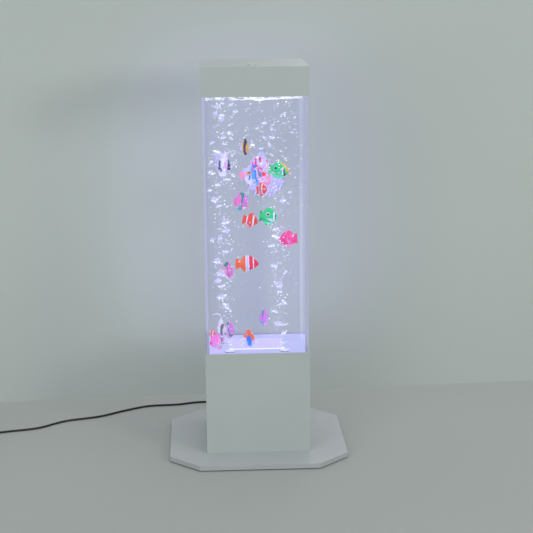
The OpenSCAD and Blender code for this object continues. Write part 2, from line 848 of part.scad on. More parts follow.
module pump_cradle() {
    color("gray")
        difference() {
            union() {
                translate([-cradle_w / 2, cradle_y - cradle_d / 2, cradle_base])
                    cube([cradle_w, cradle_d, cradle_t]);
                translate([-saddle_w / 2, motor_y + (motor_l - saddle_l) / 2, cradle_base])
                    cube([saddle_w, saddle_l, pump_z - motor_d / 4 - cradle_base]);
            }
            translate([0, motor_y - 1, pump_z])
                rotate([-90, 0, 0])
                    cylinder(h = motor_l + 2, d = motor_d + 2 * slip);
            translate([0, cradle_y, cradle_base - 1])
                four(damper_x, damper_y)
                    cylinder(h = cradle_t + 2, d = damper_bore_d + 2 * slip);
        }
}

module pump_dampers() {
    color("black")
        translate([0, cradle_y, deck_base])
            four(damper_x, damper_y)
                ring(damper_bore_d + 2 * slip, damper_d, damper_h);
}

module pump_screws() {
    color("silver")
        translate([0, cradle_y, cradle_base + cradle_t])
            four(damper_x, damper_y) {
                translate([0, 0, -pump_screw_l])
                    cylinder(h = pump_screw_l, d = damper_bore_d - 2 * slip);
                cylinder(h = m3_head_h, d = 2 * damper_bore_d);
            }
}

// ---------- Controls ----------
module control_board() {
    color("seagreen")
        translate([board_x, board_y, board_z])
            difference() {
                translate([-board_w / 2, -board_d / 2, 0])
                    cube([board_w, board_d, board_t]);
                four(standoff_x, standoff_y)
                    translate([0, 0, -1])
                        cylinder(h = board_t + 2, d = m3_d + 2 * slip);
            }
}

// Each part of the control board: its middle, then its width, depth and height. The first four are
// the connectors of the light, the pump, the jack and the button.
connector_h = 5;
CONTROL_PARTS = [
    [[-14, -14], [8, 8, connector_h]], [[-3, -14], [8, 8, connector_h]],
    [[16, 10], [8, 8, connector_h]], [[16, -4], [8, 8, connector_h]],
    [[0, 4], [12, 12, 2]], [[-15, 12], [6, 4, 3]], [[-15, 2], [6, 4, 3]]
];
part_top = board_z + board_t;

module control_parts() {
    color("black")
        for (part = CONTROL_PARTS)
            translate([
                board_x + part[0][0] - part[1][0] / 2,
                board_y + part[0][1] - part[1][1] / 2,
                part_top
            ])
                cube(part[1]);
}

module board_standoffs() {
    color("ivory")
        translate([board_x, board_y, deck_base])
            four(standoff_x, standoff_y)
                ring(m3_d + 2 * slip, standoff_d, standoff_h);
}

// Each inner lead rises from its connector on the board
function connector(k) = [
    board_x + CONTROL_PARTS[k][0][0],
    board_y + CONTROL_PARTS[k][0][1],
    part_top + connector_h
];
module lead(from, legs) {
    translate(from)
        bent(legs, lead_bend_r)
            circle(d = wire_d, $fn = 24);
}
module inner_leads() {
    light = connector(0);
    pump = connector(1);
    supply = connector(2);
    button = connector(3);
    light_rise = light_board_top - board_t - light[2];
    light_across = light_lead_x - light[0];
    level = rear_z - part_top - connector_h - lead_bend_r;
    pump_level = pump_lead_z - pump[2] - lead_bend_r;
    color("firebrick") {
        lead(light, [
            [light_rise / 2, 0], [light_across - 2 * lead_bend_r, 180],
            [light_rise / 2 - 2 * lead_bend_r]
        ]);
        lead(pump, [
            [pump_level, 0], [pump_lead_x - pump[0] - 2 * lead_bend_r, -90],
            [pump[1] - motor_y - motor_l - lead_bend_r]
        ]);
        lead(supply, [[level, 90], [rear_in - jack_l - supply[1] - lead_bend_r]]);
        lead(button, [
            [level, 0], [button_x - button[0] - 2 * lead_bend_r, 90],
            [rear_in - button_body_l - button[1] - lead_bend_r]
        ]);
    }
}

module dc_jack() {
    color("dimgray")
        translate([-jack_x, 0, rear_z])
            rotate([-90, 0, 0])
                difference() {
                    union() {
                        translate([0, 0, rear_in - jack_l])
                            cylinder(h = jack_l + shell_t, d = jack_thread_d);
                        translate([0, 0, rear_out])
                            cylinder(h = jack_flange_t, d = jack_flange_d);
                    }
                    translate([0, 0, rear_out + jack_flange_t - jack_bore_l])
                        ring(jack_pin_d, jack_bore_d, jack_bore_l + 1);
                }
}

module jack_nut() {
    color("silver")
        translate([-jack_x, rear_in - jack_nut_t, rear_z])
            rotate([-90, 0, 0])
                difference() {
                    cylinder(h = jack_nut_t, d = jack_nut_d, $fn = 6);
                    translate([0, 0, -1])
                        cylinder(h = jack_nut_t + 2, d = jack_thread_d + 2 * slip);
                }
}

// The button's cap slides in the switch's bezel
cap_room_l = button_out + button_travel + 1.5;
module button_switch() {
    color("gray")
        translate([button_x, 0, rear_z])
            rotate([-90, 0, 0])
                difference() {
                    union() {
                        translate([0, 0, rear_in - button_body_l])
                            cylinder(h = button_body_l + shell_t, d = button_body_d);
                        translate([0, 0, rear_out])
                            cylinder(h = button_bezel_t, d = button_bezel_d);
                    }
                    translate([0, 0, rear_out + button_bezel_t - cap_room_l])
                        cylinder(h = cap_room_l + 1, d = button_d + 2 * button_gap);
                    translate([0, 0, rear_out + button_bezel_t - cap_room_l - button_stem_l])
                        cylinder(h = button_stem_l + 1, d = button_d / 2 + 2 * slip);
                }
}

module power_button() {
    base = rear_out + button_bezel_t - cap_room_l + button_travel;
    color("whitesmoke")
        translate([button_x, 0, rear_z])
            rotate([-90, 0, 0]) {
                translate([0, 0, base])
                    cylinder(h = rear_out + button_bezel_t + button_out - base, d = button_d);
                translate([0, 0, base - button_stem_l + 1])
                    cylinder(h = button_stem_l, d = button_d / 2 - 2 * slip);
            }
}

// ---------- Cap ----------
plug_x = -plug_offset;
plug_y = -cap_w / 2 + plug_inset;
plug_stem_l = cap_top_t + 4;

module top_cap() {
    color("whitesmoke")
        difference() {
            translate([-cap_w / 2, -cap_w / 2, cap_base])
                cube([cap_w, cap_w, cap_h]);
            translate([-cap_in / 2, -cap_in / 2, cap_base - 1])
                cube([cap_in, cap_in, cap_h - cap_top_t + 1]);
            translate([plug_x, plug_y, tank_rim - 1])
                cylinder(h = cap_top_t + 2, d = plug_stem_d + 4 * slip);
        }
}

module refill_plug() {
    color("white")
        translate([plug_x, plug_y, cap_top]) {
            cylinder(h = plug_head_h, d = plug_head_d);
            translate([0, 0, -plug_stem_l])
                cylinder(h = plug_stem_l, d = plug_stem_d);
        }
}

// ---------- Pieces on the cord ----------
plug_barrel_d = jack_bore_d - 4 * slip;
plug_barrel_l = jack_bore_l - 1;
plug_grip_d = 10;

module dc_plug() {
    color("black")
        translate([-jack_x, rear_out + jack_flange_t, rear_z])
            rotate([-90, 0, 0])
                difference() {
                    union() {
                        translate([0, 0, -plug_barrel_l])
                            cylinder(h = plug_barrel_l + 1, d = plug_barrel_d);
                        cylinder(h = plug_grip_l, d = plug_grip_d);
                        translate([0, 0, plug_grip_l])
                            cylinder(h = plug_relief_l, d1 = plug_grip_d - 2, d2 = cord_d + 1);
                    }
                    translate([0, 0, -plug_barrel_l - 1])
                        cylinder(h = plug_barrel_l + 3, d = jack_pin_d + 4 * slip);
                }
}

module cord_lead() {
    color("black")
        polyhedron(
            tube_rings(LEAD, cord_d, cord_sides, [0, 1, 0], heading_at(coil_from)),
            skin(len(LEAD), cord_sides)
        );
}

module cord_coil() {
    color("black")
        polyhedron(
            tube_rings(COIL, cord_d, coil_sides, heading_at(coil_from), heading_at(coil_to)),
            skin(len(COIL), coil_sides)
        );
}

// A flat strap round all the turns on one side of the coil
module cord_tie() {
    inner = coil_r - coil_pitch * coil_half / 360 - coil_dip - cord_d / 2 - seat_gap;
    outer = coil_r + cord_d / 2 + seat_gap;
    top = cord_z + coil_layer + cord_d / 2 + seat_gap;
    color("black")
        translate([coil_centre[0], coil_centre[1], 0])
            rotate([0, 0, tie_angle])
                translate([inner - tie_t, -tie_w / 2, 0])
                    difference() {
                        cube([outer - inner + 2 * tie_t, tie_w, top + tie_t]);
                        translate([tie_t, -1, -1])
                            cube([outer - inner, tie_w + 2, top + 1]);
                    }
}

module power_adapter() {
    color("black") {
        translate([coil_end[0], coil_end[1], coil_end[2]])
            rotate([90, 0, 0])
                cylinder(h = adapter_relief_l, d1 = cord_d + 1, d2 = cord_d + 5);
        translate([coil_end[0] - adapter_w / 2, adapter_y - adapter_l, 0])
            linear_extrude(adapter_h)
                translate([adapter_r, adapter_r])
                    for (x = [0, adapter_w - 2 * adapter_r], y = [0, adapter_l - 2 * adapter_r])
                        translate([x, y])
                            circle(r = adapter_r);
        translate([coil_end[0] - adapter_w / 2 + adapter_r, adapter_y - adapter_l, 0])
            cube([adapter_w - 2 * adapter_r, adapter_l, adapter_h]);
        translate([coil_end[0] - adapter_w / 2, adapter_y - adapter_l + adapter_r, 0])
            cube([adapter_w, adapter_l - 2 * adapter_r, adapter_h]);
    }
}

module adapter_pins() {
    color("silver")
        for (side = [-1, 1])
            translate([
                coil_end[0] - adapter_w / 2,
                adapter_y - adapter_l + 18 + (side + 1) / 2 * pin_spacing,
                adapter_h / 2
            ])
                rotate([0, -90, 0])
                    cylinder(h = pin_l, d = pin_d);
}

base_plate();
base_feet();
base_screws();
housing_shell();
corner_posts();
support_deck();
wide_wall(-1);  // tank_front
wide_wall(1);  // tank_back
side_wall(-1);  // tank_left
side_wall(1);  // tank_right
tank_floor();
light_diffuser();
inlet_bodies();
inlet_seals();
inlet_nuts();
check_valves();
air_tubes();
pump_motor();
pump_head();
pump_cradle();
pump_dampers();
pump_screws();
light_board();
light_chips();
light_pillars();
board_screws();
control_board();
control_parts();
board_standoffs();
inner_leads();
dc_jack();
jack_nut();
button_switch();
power_button();
top_cap();
refill_plug();
fish(1);  // fish_01
fish(2);  // fish_02
fish(3);  // fish_03
fish(4);  // fish_04
fish(5);  // fish_05
fish(6);  // fish_06
fish(7);  // fish_07
fish(8);  // fish_08
fish(9);  // fish_09
fish(10);  // fish_10
fish(11);  // fish_11
fish(12);  // fish_12
fish(13);  // fish_13
fish(14);  // fish_14
fish(15);  // fish_15
fish(16);  // fish_16
fish(17);  // fish_17
dc_plug();
cord_lead();
cord_coil();
cord_tie();
power_adapter();
adapter_pins();
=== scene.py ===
"""Dresses the bubble tube floor lamp: camera, cord, materials, water, bubbles, fish and light."""

import json
import math
import random

import bmesh
import bpy
from mathutils import Matrix, Vector, noise
from mathutils.bvhtree import BVHTree

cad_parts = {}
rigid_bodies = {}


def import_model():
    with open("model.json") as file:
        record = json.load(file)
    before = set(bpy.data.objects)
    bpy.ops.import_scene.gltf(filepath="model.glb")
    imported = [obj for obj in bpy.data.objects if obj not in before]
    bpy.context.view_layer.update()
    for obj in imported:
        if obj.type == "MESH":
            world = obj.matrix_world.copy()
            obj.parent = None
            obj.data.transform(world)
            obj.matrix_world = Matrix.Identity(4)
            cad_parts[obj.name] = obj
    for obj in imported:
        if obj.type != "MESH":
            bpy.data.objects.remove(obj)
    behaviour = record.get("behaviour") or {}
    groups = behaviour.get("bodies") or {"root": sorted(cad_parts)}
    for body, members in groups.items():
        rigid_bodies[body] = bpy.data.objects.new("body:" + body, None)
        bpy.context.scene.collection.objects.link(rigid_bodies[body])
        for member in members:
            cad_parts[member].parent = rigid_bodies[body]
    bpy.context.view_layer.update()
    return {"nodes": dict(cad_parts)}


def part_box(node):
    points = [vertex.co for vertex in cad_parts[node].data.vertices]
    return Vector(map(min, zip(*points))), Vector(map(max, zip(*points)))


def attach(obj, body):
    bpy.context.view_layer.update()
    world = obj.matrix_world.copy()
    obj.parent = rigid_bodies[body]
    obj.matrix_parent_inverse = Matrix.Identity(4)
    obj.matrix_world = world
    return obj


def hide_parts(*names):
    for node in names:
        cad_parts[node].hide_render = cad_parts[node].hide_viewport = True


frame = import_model()
NODES = frame["nodes"]
MM = 0.001
ROOT = "lamp"
SCENE = bpy.context.scene
DRAW = SCENE.collection.objects

# Levels and places in the lamp, in metres
TANK_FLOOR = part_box("tank_floor")[1].z
TANK_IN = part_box("tank_right")[0].x
WATER_DEPTH = 0.484
WATER = TANK_FLOOR + WATER_DEPTH
INLET_X = 0.053
INLET_Y = -0.0752

# ---------- camera
# The photograph's camera: its place in metres, and its focal length in the photograph's pixels
CAMERA_AT = (-0.1013, -2.7152, 0.9569)
PITCH, ROLL, YAW = math.radians(12.438), math.radians(-0.557), math.radians(2.618)
PHOTO_WIDTH = 533
FOCAL_PIXELS = 1420.25
SENSOR = 36


def place_camera():
    forward = Vector((0, math.cos(PITCH), -math.sin(PITCH)))
    level = Vector((1, 0, 0))
    upward = level.cross(forward)
    right = math.cos(ROLL) * level + math.sin(ROLL) * upward
    up = -math.sin(ROLL) * level + math.cos(ROLL) * upward
    camera = bpy.data.objects.new("camera", bpy.data.cameras.new("camera"))
    DRAW.link(camera)
    axes = Matrix((right, up, -forward)).transposed().to_4x4()
    camera.matrix_world = Matrix.Translation(CAMERA_AT) @ Matrix.Rotation(-YAW, 4, "Z") @ axes
    camera.data.sensor_width = SENSOR
    camera.data.lens = SENSOR * FOCAL_PIXELS / PHOTO_WIDTH
    camera.data.clip_end = 20
    SCENE.camera = camera


place_camera()


# ---------- node helpers
class Tree:
    """A short way to write a node material."""

    def __init__(self, name):
        self.material = bpy.data.materials.new(name)
        self.material.use_nodes = True
        self.tree = self.material.node_tree
        self.tree.nodes.clear()
        self.out = self.add("OutputMaterial")

    def add(self, kind, **settings):
        node = self.tree.nodes.new("ShaderNode" + kind)
        for key, value in settings.items():
            setattr(node, key, value)
        return node

    def put(self, socket, value):
        if isinstance(value, bpy.types.NodeSocket):
            self.tree.links.new(value, socket)
        elif isinstance(value, (tuple, list)) and len(value) == 3 and socket.type == "RGBA":
            socket.default_value = (*value, 1)
        else:
            socket.default_value = value

    def math(self, operation, a, b=0.0, c=0.0, clamp=False):
        node = self.add("Math", operation=operation, use_clamp=clamp)
        for socket, value in zip(node.inputs, (a, b, c)):
            self.put(socket, value)
        return node.outputs[0]

    def times(self, a, b):
        return self.math("MULTIPLY", a, b)

    def step(self, value, low, high, to_low=0.0, to_high=1.0):
        node = self.add("MapRange", interpolation_type="SMOOTHSTEP")
        names = ("Value", "From Min", "From Max", "To Min", "To Max")
        for key, v in zip(names, (value, low, high, to_low, to_high)):
            self.put(node.inputs[key], v)
        return node.outputs["Result"]

    def mix(self, factor, a, b):
        node = self.add("Mix", data_type="RGBA")
        for k, value in zip((0, 6, 7), (factor, a, b)):
            self.put(node.inputs[k], value)
        return node.outputs[2]

    def noise(self, scale, detail, rough, vector=None, distortion=0.0, out="Fac"):
        node = self.add("TexNoise")
        self.put(node.inputs["Vector"], vector if vector is not None else self.object())
        sizes = {"Scale": scale, "Detail": detail, "Roughness": rough, "Distortion": distortion}
        for key, value in sizes.items():
            self.put(node.inputs[key], value)
        return node.outputs[out]

    def voronoi(self, scale, vector):
        node = self.add("TexVoronoi", feature="F1")
        self.put(node.inputs["Vector"], vector)
        self.put(node.inputs["Scale"], scale)
        return node.outputs["Distance"]

    def vector(self, operation, a, b=(0, 0, 0), out="Vector"):
        node = self.add("VectorMath", operation=operation)
        self.put(node.inputs[0], a)
        self.put(node.inputs["Scale" if operation == "SCALE" else 1], b)
        return node.outputs[out]

    def object(self):
        return self.add("TexCoord").outputs["Object"]

    def scaled(self, vector, scale):
        return self.vector("MULTIPLY", vector, scale)

    def xyz(self, vector):
        node = self.add("SeparateXYZ")
        self.put(node.inputs[0], vector)
        return node.outputs

    def bump(self, height, strength, distance):
        node = self.add("Bump")
        self.put(node.inputs["Height"], height)
        node.inputs["Strength"].default_value = strength
        node.inputs["Distance"].default_value = distance
        return node.outputs[0]

    def shader(self, **inputs):
        node = self.add("BsdfPrincipled")
        for key, value in inputs.items():
            self.put(node.inputs[key.replace("_", " ")], value)
        return node.outputs[0]

    def blend(self, share, first, second):
        node = self.add("MixShader")
        for socket, value in zip(node.inputs, (share, first, second)):
            self.put(socket, value)
        return node.outputs[0]

    def see_through(self, tint=(1, 1, 1)):
        node = self.add("BsdfTransparent")
        self.put(node.inputs[0], tint)
        return node.outputs[0]

    def edge_on(self):
        """0 where the surface faces the ray, 1 where it runs along it."""
        node = self.add("LayerWeight")
        node.inputs["Blend"].default_value = 0.5
        return node.outputs["Facing"]

    def end(self, shader):
        self.tree.links.new(shader, self.out.inputs[0])
        return self.material

    def lamp_through(self, shader, passed=(1, 1, 1)):
        """The shader, but light that falls through it is dimmed to the share passed, without a shadow."""
        path = self.add("LightPath")
        return self.blend(path.outputs["Is Shadow Ray"], shader, self.see_through(passed))


def linear(level):
    """One channel of a colour, from how it looks, 0 to 255, to linear light."""
    share = level / 255
    return share / 12.92 if share <= 0.04045 else ((share + 0.055) / 1.055) ** 2.4


def srgb(r, g, b):
    return tuple(linear(level) for level in (r, g, b))


def shaded(colour, share):
    return tuple(v * share for v in colour)


def coated(name, colour, shade, grain=1600, rough=0.42, depth=0.00012):
    """Powder coat: a faint orange peel, a slow drift in tone and slightly uneven gloss."""
    t = Tree(name)
    drift = t.noise(5, 3, 0.6)
    speckle = t.noise(900, 2, 0.6)
    tone = t.mix(t.step(drift, 0.3, 0.7), colour, shade)
    tone = t.mix(t.step(speckle, 0.55, 0.75, 0, 0.12), tone, shaded(colour, 0.8))
    peel = t.noise(grain, 1, 0.5)
    gloss = t.step(drift, 0.2, 0.8, rough - 0.05, rough + 0.06)
    return t.end(t.shader(Base_Color=tone, Roughness=gloss, Normal=t.bump(peel, 0.12, depth)))


def moulded(name, colour, rough=0.5, grain=2200, depth=0.0001, emit=None):
    """Moulded plastic or rubber: fine grain, slight tone and gloss variation, and a painted glow in its own
    tone where emit is given.
    """
    t = Tree(name)
    drift = t.noise(40, 3, 0.6)
    fine = t.noise(grain, 2, 0.6)
    tone = t.mix(t.step(drift, 0.3, 0.7), colour, shaded(colour, 0.86))
    gloss = t.step(fine, 0.3, 0.7, rough - 0.06, rough + 0.08)
    extra = {} if emit is None else {"Emission_Color": tone, "Emission_Strength": emit}
    return t.end(t.shader(Base_Color=tone, Roughness=gloss, Normal=t.bump(fine, 0.2, depth), **extra))


def metal(name, colour, rough=0.32, stretch=(40, 40, 900)):
    """Turned or drawn metal: fine lines one way and a few duller patches."""
    t = Tree(name)
    lines = t.noise(1, 3, 0.7, vector=t.scaled(t.object(), stretch))
    patch = t.noise(60, 2, 0.5)
    tone = t.mix(t.step(lines, 0.3, 0.7), colour, shaded(colour, 0.8))
    gloss = t.step(patch, 0.3, 0.7, rough - 0.06, rough + 0.1)
    bump = t.bump(lines, 0.15, 0.00005)
    return t.end(t.shader(Base_Color=tone, Metallic=1.0, Roughness=gloss, Normal=bump))


def dress(material, *names):
    for name in names:
        for slot in NODES[name].material_slots:
            slot.material = material


def soften(width, *names):
    """A small rounding on the sharp edges of a piece."""
    for name in names:
        bevel = NODES[name].modifiers.new("edge", "BEVEL")
        bevel.width = width
        bevel.segments = 3
        bevel.limit_method = "ANGLE"
        bevel.angle_limit = math.radians(50)
        bevel.harden_normals = True


# ---------- mesh helpers
def shown(name, data, body):
    obj = bpy.data.objects.new(name, data)
    DRAW.link(obj)
    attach(obj, body)
    return obj


def mesh_object(name, bm, materials, body=ROOT, smooth=True):
    mesh = bpy.data.meshes.new(name)
    bm.to_mesh(mesh)
    bm.free()
    for polygon in mesh.polygons:
        polygon.use_smooth = smooth
    for material in materials:
        mesh.materials.append(material)
    obj = shown(name, mesh, body)
    return obj


def grid(bm, across, along, place):
    """A net of quads whose corner (i, j) lies at place(i / across, j / along)."""
    rows = [
        [bm.verts.new(place(i / across, j / along)) for j in range(along + 1)]
        for i in range(across + 1)
    ]
    for a, b in zip(rows, rows[1:]):
        for j in range(along):
            bm.faces.new((a[j], b[j], b[j + 1], a[j + 1]))
    return rows


# ---------- cord
# In mm and degrees. The coil winds inward, climbs onto itself and winds back out: its middle, its first and
# last angle, then its radius, its pitch, the height of its upper layer, and the dip and angle of the climb.
CORD_D = 4.2
CORD_Z = 2.2
ROUTE = [
    (-30, 138, 35), (-30, 146, 35), (-31, 158, 33), (-33, 172, 27.5), (-36, 188, 18),
    (-42, 204, 9), (-51, 220, 4), (-64, 235, 2.2), (-83, 247, 2.2), (-105, 252, 2.2),
    (-131, 248, 2.2), (-157, 239, 2.2), (-183, 236, 2.2), (-220, 233, 2.2), (-248, 221, 2.2),
    (-284, 198, 2.2), (-309, 179, 2.2), (-334, 165, 2.2), (-371, 153, 2.2), (-395, 144, 2.2),
    (-418, 127, 2.2), (-441, 107, 2.2), (-465, 96, 2.2), (-501, 87, 2.2), (-531, 79, 2.2),
]
COIL_AT, COIL_FROM, COIL_TO = (-566, 42), 102, 1980
COIL_R, COIL_PITCH, COIL_LAYER, COIL_DIP, COIL_CLIMB = 30.8, 5, 4.8, 0.4, 180
COIL_HALF = (COIL_TO - COIL_FROM - COIL_CLIMB) / 2
COIL_STEP = 10
SMOOTH = 3


def coil_point(a):
    share = max(0, min(1, (a - COIL_FROM - COIL_HALF) / COIL_CLIMB))
    r = COIL_R - COIL_PITCH * min(a - COIL_FROM, COIL_HALF, COIL_TO - a) / 360
    r -= COIL_DIP * math.sin(math.pi * share)
    t = math.radians(a)
    height = CORD_Z + COIL_LAYER * share
    return Vector((COIL_AT[0] + r * math.cos(t), COIL_AT[1] + r * math.sin(t), height))


def coil_heading(a):
    return Vector((-math.sin(math.radians(a)), math.cos(math.radians(a)), 0))


def curve_at(a, b, c, d, t):
    """The point at share t between b and c on a smooth curve through a, b, c and d."""
    square = 2 * a - 5 * b + 4 * c - d
    cube = 3 * b - a - 3 * c + d
    return 0.5 * (2 * b + (c - a) * t + square * t * t + cube * t ** 3)


def cord_path():
    """The cord's route in metres: the free stretch, smoothed and kept on the floor, then the coil."""
    coil_start = coil_point(COIL_FROM) - CORD_D * coil_heading(COIL_FROM)
    coil_end = coil_point(COIL_TO) + CORD_D * coil_heading(COIL_TO)
    knots = [Vector(p) for p in ROUTE] + [coil_start]
    points = []
    for k in range(len(knots) - 1):
        a, b, c, d = (knots[max(0, min(len(knots) - 1, k + n))] for n in (-1, 0, 1, 2))
        for s in range(SMOOTH):
            p = curve_at(a, b, c, d, s / SMOOTH)
            points.append(Vector((p.x, p.y, max(p.z, CORD_Z))))
    points.append(coil_start)
    steps = (COIL_TO - COIL_FROM) // COIL_STEP + 2
    points += [coil_point(min(COIL_TO, COIL_FROM + COIL_STEP * k)) for k in range(steps)]
    points.append(coil_end)
    return [p * MM for p in points]


def sleeve(name, colour):
    """The cord's smooth sleeve: near black, dusty here and there."""
    t = Tree(name)
    dust = t.noise(70, 4, 0.6)
    fine = t.noise(2500, 1, 0.5)
    tone = t.mix(t.step(dust, 0.5, 0.8, 0, 0.6), colour, tuple(v + 0.03 for v in colour))
    gloss = t.step(dust, 0.3, 0.8, 0.38, 0.6)
    return t.end(t.shader(Base_Color=tone, Roughness=gloss, Normal=t.bump(fine, 0.15, 0.00008)))


# Length of each strain relief and its radius at the tip and at the root, in mm
PLUG_RELIEF = (16, 2.6, 4.0)
ADAPTER_RELIEF = (30, 2.6, 4.6)
RELIEF_RINGS = 6
RING_RISE, RING_HALF = 0.5, 0.8


def add_rings(bm, tip, length, tip_r, root_r):
    """Moulded rings round a strain relief that widens from its tip towards -y."""
    for k in range(RELIEF_RINGS):
        share = (k + 0.7) / RELIEF_RINGS
        radius = tip_r + (root_r - tip_r) * share

        def place(a, b, radius=radius, share=share):
            round_it, across = 2 * math.pi * a, 2 * math.pi * b
            r = radius + RING_RISE * math.cos(across)
            y = RING_HALF * math.sin(across) - length * share
            return tip + Vector((r * math.cos(round_it), y, r * math.sin(round_it))) * MM

        grid(bm, 24, 6, place)


def fittings(path):
    """The rings on the strain reliefs of the plug and of the adapter."""
    rubber = sleeve("relief_rubber", (0.014, 0.014, 0.016))
    pieces = []
    for name, tip, relief in (("plug", path[0], PLUG_RELIEF), ("adapter", path[-1], ADAPTER_RELIEF)):
        bm = bmesh.new()
        add_rings(bm, tip, *relief)
        pieces.append(mesh_object(name + "_rings", bm, [rubber]))
    return pieces


def cord():
    path = cord_path()
    rings = fittings(path)
    curve = bpy.data.curves.new("cord", "CURVE")
    curve.dimensions = "3D"
    curve.bevel_depth = CORD_D / 2 * MM
    curve.bevel_resolution = 4
    spline = curve.splines.new("POLY")
    spline.points.add(len(path) - 1)
    for point, place in zip(spline.points, path):
        point.co = (*place, 1)
    curve.materials.append(sleeve("cord_sleeve", (0.012, 0.012, 0.014)))
    obj = shown("cord", curve, ROOT)
    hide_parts("cord_lead", "cord_coil")
    tuple(path[0])
    sum((b - a).length for a, b in zip(path, path[1:]))


cord()


# ---------- materials of the solid pieces
WHITE = srgb(187, 196, 193)
WHITE_SHADE = srgb(183, 192, 190)
PLATE = srgb(182, 187, 188)
PLATE_SHADE = srgb(178, 183, 185)
EDGE = 0.0008

# Plain mouldings: colour, roughness and the pieces made of each
MOULDINGS = {
    "foot_rubber": ((0.03, 0.03, 0.03), 0.75, "base_feet", "inlet_seals", "pump_dampers"),
    "grey_moulding": (srgb(165, 168, 170), 0.55, "corner_posts", "support_deck", "button_switch"),
    "white_moulding": (
        srgb(205, 208, 204), 0.4, "inlet_nuts", "check_valves", "power_button", "board_standoffs",
    ),
    "plug_moulding": (srgb(206, 212, 209), 0.35, "refill_plug"),
    "cradle_coat": (srgb(130, 132, 136), 0.5, "pump_cradle"),
    "board_mask": ((0.02, 0.16, 0.07), 0.35, "control_board"),
    "board_white": (srgb(220, 220, 214), 0.35, "light_board"),
    "chip_resin": (srgb(235, 225, 180), 0.3, "light_chips"),
    "lead_red": ((0.45, 0.02, 0.02), 0.4, "inner_leads"),
    "tube_silicone": (srgb(200, 206, 208), 0.35, "air_tubes"),
}


def dress_nodes():
    dress(coated("shell_coat", WHITE, WHITE_SHADE), "housing_shell", "top_cap")
    dress(coated("plate_coat", PLATE, PLATE_SHADE, rough=0.36), "base_plate")
    for name, (colour, rough, *pieces) in MOULDINGS.items():
        dress(moulded(name, colour, rough), *pieces)
    steel = metal("screw_steel", (0.55, 0.56, 0.58))
    dress(steel, "base_screws", "pump_screws", "board_screws", "jack_nut", "pump_motor")
    dress(metal("pin_nickel", (0.7, 0.68, 0.62), 0.2), "adapter_pins")
    dress(metal("pillar_brass", (0.72, 0.53, 0.22)), "light_pillars")
    black = moulded("black_moulding", (0.025, 0.025, 0.028), 0.5, grain=1500, depth=0.0002)
    dress(black, "pump_head", "control_parts", "dc_jack", "power_adapter", "dc_plug", "cord_tie")
    # The inlets and the diffuser get a painted glow, as if lit by the light board below
    dress(moulded("inlet_moulding", srgb(214, 214, 240), 0.4, emit=0.55), "inlet_bodies")
    dress(moulded("opal", srgb(235, 235, 245), 0.4, emit=0.5), "light_diffuser")
    soften(EDGE, "housing_shell", "top_cap", "base_plate", "power_adapter")


LAVENDER = srgb(192, 198, 232)
WINDOW = 0.05


def acrylic():
    """Clear sheet: what lies behind shows, with a sheen at shallow angles and a painted lavender glow on its
    edges.
    """
    t = Tree("tank_acrylic")
    x = t.xyz(t.object())[0]
    glow_drift = t.noise(14, 3, 0.6)
    past_wall = t.step(t.math("ABSOLUTE", x), TANK_IN - 0.0006, TANK_IN + 0.0008)
    to_front = t.math("ABSOLUTE", t.xyz(t.add("NewGeometry").outputs["Normal"])[1])
    # lit: the share of painted lavender glow, only where the sheet lies past the inner face of the side
    # walls, stronger on faces turned to the front or back
    lit = t.times(past_wall, t.step(glow_drift, 0.3, 0.7, 0.16, 0.3))
    lit = t.times(lit, t.math("MULTIPLY_ADD", to_front, 0.5, 0.5))
    sheen = t.math("MULTIPLY_ADD", t.math("POWER", t.edge_on(), 5.0), 0.5, 0.02)
    gloss = t.add("BsdfGlossy")
    gloss.inputs["Roughness"].default_value = 0.08
    glow = t.add("Emission")
    t.put(glow.inputs[0], t.mix(t.step(glow_drift, 0.3, 0.7), LAVENDER, shaded(LAVENDER, 0.92)))
    sheet = t.blend(sheen, t.see_through((0.985, 0.99, 1.0)), gloss.outputs[0])
    return t.end(t.lamp_through(t.blend(lit, sheet, glow.outputs[0]), (0.88, 0.88, 0.92)))


def lit_floor():
    """The tank's floor: acrylic with a painted glow as if lit from below, a brighter painted square over the
    light window, and a painted highlight along the square's edge.
    """
    t = Tree("tank_floor_lit")
    x, y, _ = t.xyz(t.object())
    past = t.math("SUBTRACT", t.math("MAXIMUM", t.math("ABSOLUTE", x), t.math("ABSOLUTE", y)), WINDOW)
    inside = t.step(past, -0.0015, 0.0005, 1, 0)
    # rim: a painted highlight along the window's edge, full along its front and faint along the other sides
    rim = t.times(t.step(past, -0.004, -0.001), t.step(past, 0.002, 0.005, 1, 0))
    rim = t.times(rim, t.step(y, 0.004 - WINDOW, 0.01 - WINDOW, 1, 0.12))
    glow_drift = t.noise(18, 4, 0.6)
    tone = t.mix(t.step(glow_drift, 0.3, 0.7), srgb(178, 182, 238), srgb(192, 192, 246))
    tone = t.mix(t.times(inside, 0.7), tone, srgb(216, 204, 254))
    tone = t.mix(rim, tone, (1, 1, 1))
    return t.end(t.shader(
        Base_Color=(0.06, 0.06, 0.08), Roughness=0.35, Emission_Color=tone,
        Emission_Strength=t.math("MULTIPLY_ADD", rim, 0.35, 0.86),
    ))


dress_nodes()
dress(acrylic(), "tank_front", "tank_back", "tank_left", "tank_right")
dress(lit_floor(), "tank_floor")


# ---------- water
GAP = 0.00025
SURFACE_STEPS = 46
# Ripples by how close they lie, their place in the noise, and their height
RIPPLES = ((45, 3.1, 0.0022), (120, 7.7, 0.0010))
SWELL = 0.0022
SWELL_SPREAD = 0.0009
FROTH_LIFT = 0.0007
FROTH_SWELL = 1.25
FROTH_T = 0.0005


